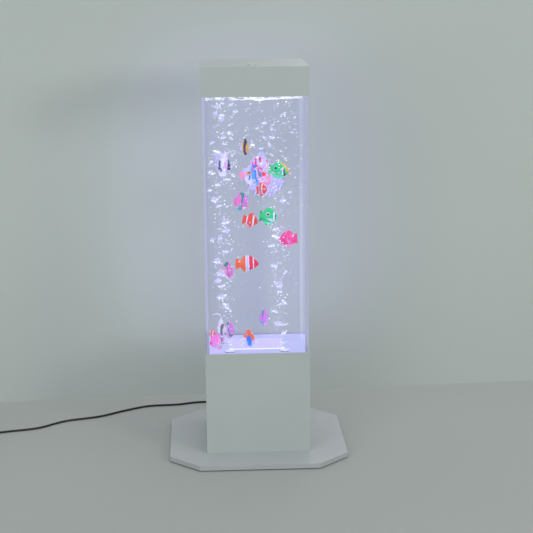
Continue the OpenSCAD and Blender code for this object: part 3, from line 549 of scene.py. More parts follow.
def ripple(x, y):
    """Height of the water's surface above its level, with a swell over each inlet."""
    height = 0
    for scale, seed, depth in RIPPLES:
        height += noise.noise(Vector((x * scale, y * scale, seed))) * depth
    for column in (-INLET_X, INLET_X):
        away = (x - column) ** 2 + (y - INLET_Y) ** 2
        height += SWELL * math.exp(-away / SWELL_SPREAD)
    return height


def surface(bm, steps, half, lift=0, swell=1):
    """The rippled surface as a net, out to half across."""

    def place(a, b):
        x, y = -half + 2 * half * a, -half + 2 * half * b
        return (x, y, WATER + lift + ripple(x, y) * swell)

    return grid(bm, steps, steps, place)


def water_material():
    """Water: clear, with a painted faint blue glow for the light's cast, brighter on the right and towards
    the back.
    """
    t = Tree("water_clear")
    x, y, z = t.xyz(t.object())
    drift = t.noise(6, 2, 0.5)
    tint = t.mix(t.step(drift, 0.3, 0.7), (0.985, 0.99, 1.0), (0.98, 0.985, 1.0))
    # cast: the painted glow of the light in the water, given as emission
    cast = t.mix(t.step(drift, 0.3, 0.7), (0.043, 0.048, 0.082), (0.036, 0.041, 0.068))
    # A painted brighter glow on the right, fainter higher up
    right_glow = t.times(t.step(x, 0.0, 0.045), t.step(z, 0.42, 0.6, 1, 0.3))
    cast = t.mix(t.times(right_glow, 0.45), cast, (0.16, 0.16, 0.2))
    # The painted glow is dimmer in the front of the water than at the back
    cast = t.mix(t.step(y, -0.03, 0.03, 1, 0), cast, (0.014, 0.016, 0.036))
    water = t.shader(
        Base_Color=tint, Roughness=0.0, IOR=1.333, Transmission_Weight=1.0,
        Emission_Color=cast, Emission_Strength=1.0,
    )
    return t.end(t.lamp_through(water))


def water_block():
    """The water as one closed body, whose underside lies just inside the tank's floor."""
    n = SURFACE_STEPS
    bm = bmesh.new()
    top = surface(bm, n, TANK_IN - GAP)
    edge = [(i, 0) for i in range(n)] + [(n, j) for j in range(n)]
    edge += [(n - i, n) for i in range(n)] + [(0, n - j) for j in range(n)]
    low = {(i, j): bm.verts.new((*top[i][j].co.xy, TANK_FLOOR - 4 * GAP)) for i, j in edge}
    for a, b in zip(edge, edge[1:] + edge[:1]):
        bm.faces.new((top[a[0]][a[1]], low[a], low[b], top[b[0]][b[1]]))
    bm.faces.new([low[e] for e in reversed(edge)])
    bmesh.ops.recalc_face_normals(bm, faces=bm.faces)
    mesh_object("water", bm, [water_material()], smooth=False)


def froth_material():
    """The ripples and froth at the surface, with a painted lavender glow and painted white highlights in
    streaks.
    """
    t = Tree("surface_light")
    streak = t.noise(70, 4, 0.65, distortion=1.2)
    tone = t.mix(t.step(streak, 0.42, 0.55), srgb(178, 184, 232), (1, 1, 1))
    glow = t.shader(
        Base_Color=(0.5, 0.5, 0.55), Roughness=0.3, Emission_Color=tone,
        Emission_Strength=t.step(streak, 0.36, 0.56, 0.4, 1.2),
    )
    return t.end(t.lamp_through(glow))


def froth():
    bm = bmesh.new()
    surface(bm, 2 * SURFACE_STEPS, TANK_IN - 4 * GAP, FROTH_LIFT, FROTH_SWELL)
    bmesh.ops.recalc_face_normals(bm, faces=bm.faces)
    bmesh.ops.solidify(bm, geom=list(bm.faces), thickness=FROTH_T)
    # A thin sheet just above the water that carries the froth with its painted glow and highlights
    mesh_object("surface_froth_and_glow", bm, [froth_material()])


water_block()
froth()


# ---------- bubbles
# Each large bubble that the light picks out: its place across and its height, its width and depth (all in
# mm), how far it leans, in degrees, and how many bright painted highlights it has
BUBBLES = [
    (-68, 680, 14, 7, 25, 3), (-60, 686, 8, 6, 0, 1), (-43, 684, 11, 8, 25, 2), (-36, 671, 11, 8, 25, 2),
    (-72, 667, 7, 11, 8, 2), (-62, 660, 13, 16, 10, 1), (-60, 631, 7, 4, 0, 1), (-48, 631, 12, 7, -15, 0),
    (-45, 622, 5, 4, 0, 1), (-60, 623, 11, 8, 20, 1), (-80, 613, 9, 6, 30, 1), (-57, 611, 8, 7, 0, 0),
    (-72, 594, 14, 11, 0, 1), (-83, 576, 9, 9, 0, 1), (-83, 557, 11, 10, 10, 1), (-42, 550, 8, 6, 0, 1),
    (-52, 543, 10, 6, 0, 1), (-71, 534, 13, 8, 0, 2), (-86, 524, 6, 10, 0, 0), (-77, 504, 15, 14, 0, 2),
    (-71, 492, 8, 8, 0, 1), (18, 649, 8, 7, 20, 1), (4, 639, 7, 6, 30, 1), (31, 637, 5, 11, 10, 0),
    (32, 621, 12, 7, -8, 2), (17, 621, 9, 7, -10, 0), (27, 606, 8, 9, -30, 1), (-5, 609, 8, 10, 0, 0),
    (9, 600, 6, 7, 0, 1), (70, 630, 6, 5, 0, 1), (56, 667, 5, 5, 0, 1), (51, 501, 11, 12, 0, 2),
    (64, 517, 6, 6, 0, 1), (-57, 462, 17, 10, 0, 1), (-57, 446, 15, 11, 0, 3), (-68, 432, 9, 12, 0, 3),
    (-84, 429, 7, 8, 0, 1), (-58, 404, 14, 7, 0, 2), (-74, 388, 14, 14, 0, 1), (-67, 362, 16, 13, 0, 3),
    (-73, 350, 13, 11, 0, 3), (-66, 338, 15, 8, 20, 2), (-66, 317, 19, 10, 3, 2), (-59, 299, 15, 11, -25, 1),
    (-51, 290, 5, 9, 20, 0), (38, 447, 13, 9, 0, 2), (38, 431, 15, 10, 0, 1), (29, 415, 17, 8, 0, 2),
    (34, 376, 14, 9, 0, 2), (55, 364, 5, 6, 0, 1), (42, 340, 17, 13, 0, 3), (44, 326, 12, 7, 0, 1),
    (51, 304, 12, 14, -25, 1), (35, 286, 12, 8, 0, 1), (42, 262, 18, 11, 0, 3), (55, 260, 8, 4, 15, 1),
    (51, 244, 9, 8, 0, 1), (47, 226, 8, 8, 0, 1), (-53, 226, 7, 7, 0, 1),
]
PLUME_Y = -0.0745
SPARKLES = 300
SPARKLE_SIZES = (0.6, 0.7, 0.8, 1.0, 1.3)
MIST = 130
MIST_SIZES = (1.2, 1.6, 2.0, 2.8)
# Where each column of fine bubbles stands across the tank, and its spread, in metres
COLUMNS = ((-0.058, 0.018), (0.044, 0.02))
PALE, HIGHLIGHT_BLOB, FINE = 0, 1, 2
# How near bubbles and specks come to the tank's walls, floor and surface, and how deep their columns are
BUBBLE_ROOM, SPECK_ROOM = 0.003, 0.004
SPECK_LOW, SPECK_HIGH = 0.008, 0.004
BUBBLE_Y, SPECK_Y = 0.004, 0.006


def unit_ball():
    bm = bmesh.new()
    bmesh.ops.create_icosphere(bm, subdivisions=2, radius=1)
    points = [v.co.copy() for v in bm.verts]
    faces = [[v.index for v in f.verts] for f in bm.faces]
    bm.free()
    return points, faces


BALL_POINTS, BALL_FACES = unit_ball()


def add_blob(bm, centre, size, seed, rough, index, turn=None):
    """A ball pushed in and out by noise, scaled to size, turned, and set at centre."""
    shift = Vector((seed, seed * 0.37, seed * 0.11))
    verts = []
    for p in BALL_POINTS:
        push = 1 + rough * noise.noise(p * 1.6 + shift)
        q = Vector((p.x * size[0], p.y * size[1], p.z * size[2])) * push
        verts.append(bm.verts.new(centre + (turn @ q if turn else q)))
    for corners in BALL_FACES:
        face = bm.faces.new([verts[k] for k in corners])
        face.material_index = index


def bubble_material(name, cool, warm, strength, thick):
    """Air bubbles with a painted glow, as if lit from below: soft and clear at their rims, brighter in the
    middle.
    """
    t = Tree(name)
    patch = t.noise(420, 2, 0.6)
    tone = t.mix(t.step(patch, 0.35, 0.6), cool, warm)
    glow = t.shader(
        Base_Color=(0.08, 0.08, 0.12), Roughness=0.2, Emission_Color=tone, Emission_Strength=strength,
    )
    body = t.step(t.edge_on(), 0.1, 0.9, thick, 0.0)
    share = t.times(body, t.step(patch, 0.3, 0.6, 0.7, 1.0))
    return t.end(t.lamp_through(t.blend(share, t.see_through(), glow)))


def add_bubble(bm, rng, x, z, width, depth, lean, highlights):
    """A cluster of pale, glowing, irregular lobes with bright painted highlights inside, and a few specks
    around it.
    """
    y = PLUME_Y + rng.uniform(-BUBBLE_Y, BUBBLE_Y)
    turn = Matrix.Rotation(-math.radians(lean), 3, "Y")
    centre = Vector((x * MM, y, z * MM))
    half = Vector((width / 2, min(width, depth) * 0.4, depth / 2)) * MM
    lobes = 3 + round(width * depth / 70)
    for k in range(lobes):
        angle = 2 * math.pi * (k + rng.random() * 0.6) / lobes
        offset = Vector((math.cos(angle) * half.x * 0.5, 0, math.sin(angle) * half.z * 0.5))
        size = Vector((half.x * rng.uniform(0.4, 0.7), half.y * 0.8, half.z * rng.uniform(0.4, 0.7)))
        add_blob(bm, centre + turn @ offset, size, rng.random() * 60, 0.9, PALE, turn)
    for k in range(highlights + 1):
        along = (k + 0.5) / (highlights + 1) - 0.5
        offset = Vector((along * width * 0.85, 0, rng.uniform(-0.3, 0.3) * depth)) * MM
        r = min(width / (1.2 * highlights + 1.2), depth * 0.6) / 2 * MM
        size = Vector((r * rng.uniform(1.0, 1.7), half.y * 1.2, r * rng.uniform(0.5, 0.9)))
        add_blob(bm, centre + turn @ offset, size, rng.random() * 60, 0.7, HIGHLIGHT_BLOB, turn)
    for k in range(rng.randint(2, 5)):
        angle = rng.uniform(0, 2 * math.pi)
        reach = rng.uniform(1.1, 1.7)
        offset = Vector((math.cos(angle) * half.x * reach, 0, math.sin(angle) * half.z * reach))
        if abs(centre.x + offset.x) > TANK_IN - BUBBLE_ROOM:
            continue
        r = rng.choice(SPARKLE_SIZES) * MM
        add_blob(bm, centre + offset, Vector((r * 1.2, r, r)), rng.random() * 60, 0.4, (PALE, HIGHLIGHT_BLOB)[k % 2])


def add_specks(bm, rng, column, spread, count, sizes, index):
    """Fine bubbles that scatter wider as they rise."""
    for _ in range(count):
        height = rng.random() ** 0.7
        x = column + rng.gauss(0, spread * (0.3 + 1.1 * height))
        z = TANK_FLOOR + SPECK_LOW + height * (WATER_DEPTH - SPECK_LOW - SPECK_HIGH)
        if abs(x) > TANK_IN - SPECK_ROOM:
            continue
        r = rng.choice(sizes) * MM
        y = PLUME_Y + rng.uniform(-SPECK_Y, SPECK_Y)
        size = Vector((r * rng.uniform(1.0, 1.5), r, r * rng.uniform(0.7, 1.0)))
        add_blob(bm, Vector((x, y, z)), size, rng.random() * 60, 0.5, index)


def bubbles():
    rng = random.Random(11)
    bm = bmesh.new()
    for bubble in BUBBLES:
        add_bubble(bm, rng, *bubble)
    for column, spread in COLUMNS:
        add_specks(bm, rng, column, spread, MIST, MIST_SIZES, FINE)
        add_specks(bm, rng, column, spread * 1.2, SPARKLES, SPARKLE_SIZES, HIGHLIGHT_BLOB)
    # The pale lobes and the mist glow with painted light; the bright blobs and the sparkles are painted
    # highlights
    pale = bubble_material("bubble_pale", srgb(186, 188, 240), srgb(214, 212, 255), 0.9, 0.85)
    highlight_glow = bubble_material("bubble_highlight", srgb(222, 222, 255), (1, 1, 1), 1.25, 1.0)
    mist = bubble_material("bubble_mist", srgb(196, 196, 244), srgb(222, 220, 255), 0.95, 0.4)
    mesh_object("bubbles", bm, [pale, highlight_glow, mist])


bubbles()


# ---------- fish
ORANGE = srgb(248, 102, 30)
AMBER = srgb(246, 180, 70)
APRICOT = srgb(246, 156, 110)
SCARLET = srgb(240, 70, 44)
CRIMSON = srgb(238, 16, 70)
TEAL = srgb(0, 148, 136)
MINT = srgb(110, 230, 200)
CYAN = srgb(30, 180, 205)
NAVY = srgb(18, 28, 80)
BLUE = srgb(10, 130, 245)
SKY = srgb(96, 172, 245)
INK = srgb(44, 32, 58)
PINK = srgb(242, 116, 214)
ORCHID = srgb(212, 124, 226)
MAGENTA = srgb(246, 50, 156)
ROSE = srgb(250, 160, 205)
GREEN = srgb(8, 208, 128)
LEAF = srgb(0, 160, 90)
MILK = srgb(236, 234, 255)
PEARL = srgb(206, 202, 248)
UMBER = srgb(170, 124, 128)


def stroke(t, place, *sizes):
    """1 within half of the line from (u0, v0) to (u1, v1)."""
    u0, v0, u1, v1, half = (size / 100 for size in sizes)
    run = Vector((u1 - u0, v1 - v0, 0))
    from_start = t.vector("SUBTRACT", place, (u0, v0, 0))
    along = t.vector("DOT_PRODUCT", from_start, tuple(run / run.length_squared), out="Value")
    nearest = t.vector("SCALE", tuple(run), t.math("ADD", along, 0.0, clamp=True))
    away = t.vector("LENGTH", t.vector("SUBTRACT", from_start, nearest), out="Value")
    return t.step(away, half * 0.85, half * 1.15, 1, 0)


def spot(t, place, *sizes):
    """1 inside an oval spot at (u, v)."""
    u, v, half_u, half_v = (size / 100 for size in sizes)
    offset = t.scaled(t.vector("SUBTRACT", place, (u, v, 0)), (1 / half_u, 1 / half_v, 0))
    return t.step(t.vector("LENGTH", offset, out="Value"), 0.9, 1.1, 1, 0)


def dots(t, place, *sizes):
    """1 on small dots, within an oval."""
    *oval, scale = sizes
    small = t.step(t.voronoi(scale, place), 0.26, 0.34, 1, 0)
    return t.times(small, spot(t, place, *oval))


# How each fish is painted: its base colour, how clear it is, its eye, then its marks in order. Places are in
# hundredths of its length from the tail and of its height from the belly. An eye has a place, a radius in
# hundredths of the length, and a ring's colour if it has a ring. A stroke runs between two points with a half
# width, a spot has two radii, and dots fill a spot and have a scale.
LOOKS = {
    1: (MILK, 0.1, (90, 42, 2), [
        (stroke, 36, 30, 36, 70, 15, AMBER), (stroke, 86, 34, 86, 72, 10, AMBER),
        (stroke, 60, 16, 60, 90, 16, INK)]),
    2: (PEARL, 0.15, (93, 46, 1.2), [
        (stroke, 48, 20, 50, 90, 12, MILK), (stroke, 30, 16, 80, 10, 6, MILK),
        (stroke, 98, 30, 98, 60, 5, MILK), (stroke, 58, 40, 58, 56, 5, ROSE),
        (stroke, 30, 48, 30, 62, 5, INK), (spot, 27, 38, 7, 6, NAVY), (spot, 37, 30, 5, 7, NAVY),
        (stroke, 77, 26, 81, 64, 8, NAVY)]),
    3: (PEARL, 0.12, (77.8, 51, 1.8), [
        (spot, 46, 36, 16, 16, ROSE), (dots, 30, 36, 30, 30, 21, MILK), (dots, 36, 40, 20, 30, 27, MAGENTA),
        (spot, 84, 34, 12, 10, MILK), (spot, 93, 46, 8, 8, ROSE), (stroke, 66, 34, 72, 58, 3.6, SKY),
        (stroke, 60, 26, 60, 38, 2.5, SKY), (spot, 79, 50, 5, 4.5, APRICOT),
        (stroke, 77, 38, 76.5, 44, 2, BLUE), (stroke, 61, 34, 66, 56, 1.4, BLUE),
        (stroke, 56, 44, 59, 60, 1.8, UMBER), (stroke, 53, 42, 54, 50, 1.8, BLUE),
        (spot, 47, 48, 4, 4.5, SCARLET), (dots, 55, 66, 22, 12, 13, MAGENTA),
        (stroke, 70, 64, 70, 70, 1.8, MAGENTA), (stroke, 64, 68, 60, 60, 2.2, MAGENTA),
        (stroke, 58, 61, 50, 57, 2, MAGENTA), (spot, 53.5, 76, 3, 5, CRIMSON), (spot, 66.7, 63, 3.5, 3, BLUE),
        (spot, 50, 98, 3, 7, SKY), (stroke, 30, 4, 60, 3, 2, MILK)]),
    4: (GREEN, 0.0, (32, 62, 7, MINT), [
        (stroke, 10, 10, 70, 12, 12, MINT), (stroke, 58, 96, 88, 66, 5.5, AMBER),
        (stroke, 88, 66, 99, 40, 5, AMBER), (stroke, 66, 70, 68, 30, 3, MILK),
        (stroke, 70, 64, 74, 40, 3.5, NAVY), (spot, 79, 30, 5, 7, NAVY), (spot, 83, 50, 3, 4, SCARLET),
        (dots, 5, 50, 8, 40, 20, MAGENTA)]),
    5: (SCARLET, 0.0, (82, 50, 3.5), [
        (stroke, 37, 15, 39, 85, 3.5, MILK), (stroke, 66, 10, 70, 90, 4.5, MILK),
        (spot, 30, 10, 10, 10, ROSE)]),
    6: (PINK, 0.0, (72, 45, 2.5), [
        (spot, 82, 50, 22, 50, ORCHID), (spot, 35, 40, 8, 7, APRICOT), (spot, 52, 96, 17, 12, TEAL),
        (spot, 54, 82, 10, 12, TEAL), (stroke, 54, 80, 51, 30, 6, TEAL), (spot, 40, 14, 18, 11, CYAN),
        (spot, 93, 40, 8, 10, APRICOT), (spot, 74, 16, 13, 10, MILK)]),
    7: (SCARLET, 0.0, (86, 55, 3), [
        (stroke, 26, 20, 28, 90, 3.5, MILK), (stroke, 66, 85, 71, 10, 5, MILK),
        (spot, 36, 12, 14, 10, ROSE)]),
    8: (GREEN, 0.0, (44, 63, 7.5, MILK), [
        (spot, 14, 35, 5, 7, LEAF), (stroke, 5, 72, 14, 96, 3, NAVY), (stroke, 5, 30, 17, 6, 3, NAVY),
        (stroke, 20, 14, 66, 16, 6, MINT), (stroke, 52, 36, 70, 28, 3.5, MILK),
        (stroke, 76, 75, 79, 30, 4, MILK), (stroke, 83, 62, 87, 38, 3.5, NAVY), (spot, 95, 46, 6, 12, MINT)]),
    9: (MAGENTA, 0.0, (70, 42, 2.8), [
        (spot, 50, 8, 32, 14, ROSE), (dots, 30, 35, 30, 30, 12, ROSE), (spot, 52, 55, 5, 6, ORANGE),
        (spot, 70, 42, 5, 6, ORANGE), (stroke, 24, 94, 6, 70, 5, ORANGE), (stroke, 14, 12, 8, 30, 5, ORANGE),
        (spot, 22, 68, 5, 6, MILK), (spot, 97, 42, 8, 12, ROSE)]),
    10: (ORANGE, 0.0, (86, 55, 2), [
        (stroke, 51, 2, 50, 98, 7, PEARL), (stroke, 46, 2, 45, 98, 1.6, MILK),
        (stroke, 67, 2, 66, 98, 8.8, CRIMSON), (stroke, 58.5, 2, 57.5, 98, 1.4, MILK),
        (spot, 92, 50, 14, 30, CRIMSON), (stroke, 78, 15, 77, 85, 2.2, MILK)]),
    11: (PINK, 0.0, (80, 50, 2.5), [
        (spot, 72, 42, 26, 28, ROSE), (spot, 80, 40, 10, 7, ORANGE), (spot, 64, 88, 26, 16, TEAL),
        (stroke, 44, 72, 30, 25, 4, TEAL), (spot, 70, 8, 35, 12, MILK), (dots, 30, 50, 20, 20, 12, ORCHID)]),
    12: (ORCHID, 0.05, (86, 50, 2), [
        (stroke, 84, 60, 66, 94, 5, TEAL), (stroke, 82, 28, 66, 16, 5, CYAN), (spot, 30, 10, 20, 12, ROSE),
        (spot, 36, 34, 5, 6, MAGENTA)]),
    13: (MILK, 0.15, (90, 45, 2), [
        (spot, 74, 56, 10, 7, AMBER), (spot, 8, 20, 10, 7, APRICOT), (stroke, 42, 14, 30, 62, 9, INK),
        (spot, 34, 50, 12, 12, INK)]),
    14: (PINK, 0.0, (80, 55, 2), [
        (spot, 20, 42, 22, 26, PEARL), (spot, 80, 60, 25, 40, ORCHID), (spot, 36, 84, 17, 13, TEAL),
        (stroke, 42, 80, 64, 30, 6, TEAL), (stroke, 62, 20, 88, 22, 7, TEAL), (spot, 10, 30, 12, 7, ORANGE),
        (spot, 84, 40, 8, 7, APRICOT)]),
    15: (PINK, 0.0, (90, 52, 3), [
        (dots, 40, 40, 35, 30, 15, MILK), (spot, 97, 45, 5, 8, CRIMSON), (spot, 32, 42, 14, 16, ROSE),
        (stroke, 95, 20, 60, 2, 7, MILK), (stroke, 14, 84, 17, 34, 6, TEAL),
        (stroke, 18, 26, 50, 16, 5, MINT)]),
    16: (SCARLET, 0.0, (84, 55, 3), [
        (stroke, 40, 10, 40, 90, 5, MILK), (stroke, 68, 10, 68, 90, 5, MILK)]),
    17: (PEARL, 0.0, (85, 50, 2.5), [
        (spot, 50, 90, 90, 42, ORANGE), (dots, 45, 90, 60, 20, 11, MILK), (spot, 60, 42, 22, 30, BLUE),
        (stroke, 30, 34, 44, 16, 3, SKY)]),
}
# Heading, from the tank's right, and how far the nose is lifted, both in degrees
POSES = {
    1: (-62, 0), 2: (10, 0), 3: (180, 0), 4: (0, -8), 5: (-55, 10), 6: (0, -6), 7: (0, -12), 8: (0, -6),
    9: (180, -4), 10: (0, 0), 11: (125, 0), 12: (-122, 8), 13: (118, 0), 14: (-56, 0), 15: (184, -10),
    16: (115, 0), 17: (-52, 0),
}
SLOTS = {
    "fish_yellow": (1,), "fish_white": (2, 13), "fish_pearl": (3,), "fish_green": (4, 8),
    "fish_orange": (5, 7, 10, 16), "fish_pink": (6, 11, 12, 14, 15), "fish_coral": (9,), "fish_blue": (17,),
}
# Clear, lacy parts of fins, as spots in the same hundredths
VEILS = {
    2: ((12, 60, 20, 50), (30, 90, 30, 20)),
    3: (
        (14, 42, 22, 40), (50, 8, 40, 20), (44, 90, 16, 14), (86, 76, 12, 14),
        (84, 74, 12, 14), (72, 88, 13, 13), (70, 90, 13, 13),
    ),
    13: ((60, 95, 30, 10), (8, 50, 10, 40)),
    17: ((50, 2, 50, 20), (8, 40, 12, 30)),
}
# Torn, frilled edges, as strokes
FRAYS = {
    2: ((0, 40, 10, 20, 6), (20, 98, 80, 98, 6)),
    3: (
        (95, 62, 58, 99, 8), (97, 36, 60, 4, 6), (42, 94, 28, 62, 5),
        (50, 2, 10, 10, 4), (2, 20, 2, 50, 4),
    ),
}
# Soft white threads and trailing fins: where each leaves the fish, in hundredths, how far it runs across
# and up from there in the tank by a middle point and an end point, and its width at the root, all in mm
THREADS = {
    1: (((50, 94), (1, 6), (10, 8), 2.0),),
    2: (((74, 82), (5, 8), (18, 9), 2.0),),
    13: (((50, 94), (-5, 9), (-17, 7), 3.0),),
    17: (
        ((30, 50), (-8, -1), (-17, -9), 1.8), ((30, 40), (-5, -3), (-11, -8), 1.5),
        ((75, 42), (6, 0), (13, -5), 1.8), ((60, 30), (3, -3), (8, -6), 1.5),
    ),
}
# Thin clear fans that fill out a fin, each an outline in hundredths
FANS = {
    2: (((12, 50), (2, 72), (0, 92), (14, 100), (40, 97), (62, 100), (84, 94), (80, 60)),),
    3: (
        ((30, 50), (12, 50), (0, 34), (2, 20), (14, 10), (30, 0), (46, 2), (50, 30)),
        ((50, 30), (52, 4), (68, 2), (66, 12), (82, 16), (88, 30), (80, 40)),
    ),
    17: (((50, 40), (10, 30), (20, 6), (40, 10), (50, 0), (62, 10), (80, 10), (70, 36)),),
}
# Side fins: where they leave the fish, in hundredths, their length as a share of the fish's, and how far
# they hang, in degrees
FIN_ROOT = (60, 42)
SHORT_FINS = (0.2, -20)
SIDE_FINS = {17: (0.4, -55)}
FIN_SPREAD = 50
FIN_T = 0.0003
FIN_EDGE = 0.0011
FAN_Y = 0.0016
FRILL_STEP = 0.0016
# How strongly the fish's paint and eye rings glow: a painted glow, as if lit by the light in the water
FISH_GLOW = 0.3
# How far outside a fish the search for its skin starts, in metres
OUTSIDE = 0.1
PUPIL, RING, WEB, STRAND = 1, 2, 3, 4


def fish_material(number, base, clearness, marks):
    """Painted soft plastic: the marks in order, a little uneven at their edges, with rays in thin fins, and a
    painted glow in the same colours.
    """
    t = Tree(f"fish_paint_{number:02d}")
    side = t.add("UVMap", uv_map="side").outputs[0]
    edge = t.xyz(t.add("UVMap", uv_map="fin").outputs[0])[0]
    waver = t.vector("SUBTRACT", t.noise(9, 2, 0.6, vector=side, out="Color"), (0.5, 0.5, 0.5))
    place = t.vector("ADD", side, t.scaled(waver, (0.07, 0.07, 0)))
    cloud = t.noise(5, 3, 0.6, vector=side)
    tone = t.mix(t.step(cloud, 0.4, 0.8, 0, 0.1), base, MILK)
    for mark, *sizes, colour in marks:
        tone = t.mix(mark(t, place, *sizes), tone, colour)
    u, v, _ = t.xyz(side)
    rays = t.math("SINE", t.times(t.math("ADD", u, t.times(v, 0.35)), 190))
    in_fin = t.step(edge, 0.25, 0.6, 1, 0)
    ray = t.times(in_fin, t.step(rays, -0.2, 0.8, 0, 0.3))
    tone = t.mix(ray, tone, shaded(base, 0.6))
    scales = t.voronoi(34, side)
    bump = t.bump(t.math("ADD", scales, t.times(ray, 2.0)), 0.25, 0.0003)
    paint = t.shader(
        Base_Color=tone, Roughness=t.step(cloud, 0.3, 0.7, 0.28, 0.4), Normal=bump,
        Emission_Color=tone, Emission_Strength=FISH_GLOW,
    )
    see = t.math("MULTIPLY_ADD", in_fin, 0.12, clearness, clamp=True)
    lace = t.step(t.voronoi(24, place), 0.25, 0.5, 0.0, 0.4)
    for sizes in VEILS.get(number, ()):
        see = t.math("MULTIPLY_ADD", spot(t, place, *sizes), lace, see, clamp=True)
    torn = t.step(t.noise(13, 1, 0.5, vector=side), 0.44, 0.5)
    for sizes in FRAYS.get(number, ()):
        see = t.math("MULTIPLY_ADD", stroke(t, place, *sizes), torn, see, clamp=True)
    return t.end(t.lamp_through(t.blend(see, paint, t.see_through())))


def fin_material():
    """Thin clear plastic fin: milky along its rays, with a faint painted glow."""
    t = Tree("fin_clear")
    side = t.add("UVMap", uv_map="side").outputs[0]
    u, v, _ = t.xyz(side)
    fan = t.times(t.math("ADD", u, t.times(v, 0.4)), 75)
    rays = t.step(t.math("SINE", fan), -0.5, 0.8)
    glow = t.shader(
        Base_Color=srgb(205, 200, 245), Roughness=0.3,
        Emission_Color=t.mix(rays, srgb(186, 184, 244), srgb(236, 232, 255)), Emission_Strength=0.3,
    )
    share = t.math("MULTIPLY_ADD", rays, 0.4, 0.4)
    return t.end(t.lamp_through(t.blend(share, t.see_through(), glow)))


EYE = moulded("eye_black", (0.008, 0.01, 0.03), 0.12)
FIN = fin_material()
# Soft white threads, with a painted glow
THREAD = moulded("thread_soft", srgb(234, 234, 255), 0.35, emit=0.6)
RINGS = {}


def ring_material(colour):
    if colour not in RINGS:
        RINGS[colour] = moulded(f"eye_ring_{len(RINGS) + 1}", colour, 0.3, emit=FISH_GLOW)
    return RINGS[colour]


def smooth_copy(name, turn, centre):
    """The solid's mesh in the fish's own axes, rounded, and stretched back to its full size."""
    source = NODES[name]
    bm = bmesh.new()
    bm.from_mesh(source.data)
    bm.transform(source.matrix_world)
    bmesh.ops.remove_doubles(bm, verts=bm.verts, dist=1e-6)
    bm.transform(turn.transposed().to_4x4() @ Matrix.Translation(-centre))
    bmesh.ops.join_triangles(bm, faces=bm.faces, angle_face_threshold=0.8, angle_shape_threshold=1.2)
    full = extent(bm)
    coarse = bpy.data.meshes.new(name + "_coarse")
    bm.to_mesh(coarse)
    bm.free()
    obj = bpy.data.objects.new(name + "_coarse", coarse)
    DRAW.link(obj)
    obj.modifiers.new("round", "SUBSURF").levels = 2
    fine = bmesh.new()
    fine.from_object(obj, bpy.context.evaluated_depsgraph_get())
    bpy.data.objects.remove(obj)
    bpy.data.meshes.remove(coarse)
    low, high = extent(fine)
    for v in fine.verts:
        for k in range(3):
            share = (v.co[k] - low[k]) / (high[k] - low[k])
            v.co[k] = full[0][k] + share * (full[1][k] - full[0][k])
    return fine, full


def extent(bm):
    low = Vector([min(v.co[k] for v in bm.verts) for k in range(3)])
    high = Vector([max(v.co[k] for v in bm.verts) for k in range(3)])
    return low, high


def middle_point(low, high, u, v):
    """A point in the fish's middle plane, by hundredths of its length and height."""
    return Vector((low.x + u / 100 * (high.x - low.x), 0, low.z + v / 100 * (high.z - low.z)))


def skin_points(bm, point):
    """For both sides of a point in the middle plane, the side, -1 or 1, and where the skin lies."""
    tree = BVHTree.FromBMesh(bm)
    for way in (-1, 1):
        hit = tree.ray_cast(point + Vector((0, way * OUTSIDE, 0)), Vector((0, -way, 0)))[0]
        if hit is not None:
            yield way, hit


def net_faces(rows, index):
    """All faces of a net, given the material of that index."""
    faces = {f for row in rows for v in row for f in v.link_faces}
    for face in faces:
        face.material_index = index
    return list(faces)


def add_eyes(bm, low, high, eye):
    """A domed pupil on each side, over a paler ring where the fish has one."""
    u, v, radius, *ring = eye
    r = radius / 100 * (high.x - low.x)
    for _, hit in skin_points(bm, middle_point(low, high, u, v)):
        if ring:
            add_blob(bm, hit, Vector((r * 1.45, r * 0.35, r * 1.45)), 1, 0, RING)
        add_blob(bm, hit, Vector((r, r * 0.55, r)), 1, 0, PUPIL)


def add_side_fins(bm, low, high, share, droop):
    """A thin fan on each side of the body, swept back."""
    length = share * (high.x - low.x)
    for way, hit in skin_points(bm, middle_point(low, high, *FIN_ROOT)):

        def place(a, b, way=way, hit=hit):
            angle = math.radians(FIN_SPREAD * (a - 0.5) + droop)
            reach = length * b * (1 - 0.25 * abs(2 * a - 1) ** 2)
            wave = 0.0006 * math.sin(a * 16) * b
            out = way * (0.35 * reach + wave)
            return hit + Vector((-math.cos(angle) * reach * 0.9, out, math.sin(angle) * reach))

        web = net_faces(grid(bm, 14, 5, place), WEB)
        bmesh.ops.solidify(bm, geom=web, thickness=FIN_T)


def add_thread(bm, low, high, turn, root, middle, end, width):
    """A soft white thread that leaves the fish and thins towards its tip."""
    start = middle_point(low, high, *root)
    bend, last = (Vector((x, 0, z)) * MM for x, z in (middle, end))
    steps, sides = 14, 6

    def place(a, b):
        path = 2 * b * (1 - b) * (2 * bend - last / 2) + b * b * last
        r = width / 2 * MM * (1 - 0.7 * b)
        ring = Vector((0, math.cos(2 * math.pi * a), math.sin(2 * math.pi * a))) * r
        return start + turn.transposed() @ (path + ring)

    net_faces(grid(bm, sides, steps, place), STRAND)


def add_fan(bm, low, high, outline):
    """A thin, frilled sheet in the fish's middle plane."""
    corners = [middle_point(low, high, u, v) for u, v in outline]
    hub = sum(corners, Vector()) / len(corners)
    rim = []
    for a, b in zip(corners, corners[1:] + corners[:1]):
        steps = max(1, round((b - a).length / FRILL_STEP))
        rim += [a.lerp(b, k / steps) for k in range(steps)]
    count = len(rim)

    def place(a, b):
        k = round(a * count) % count
        frill = 1 - 0.1 * b * (k % 2)
        p = hub.lerp(rim[k], b * frill)
        p.y = FAN_Y * b * math.sin(k * 0.9)
        return p

    web = net_faces(grid(bm, count, 4, place), WEB)
    bmesh.ops.solidify(bm, geom=web, thickness=FIN_T)


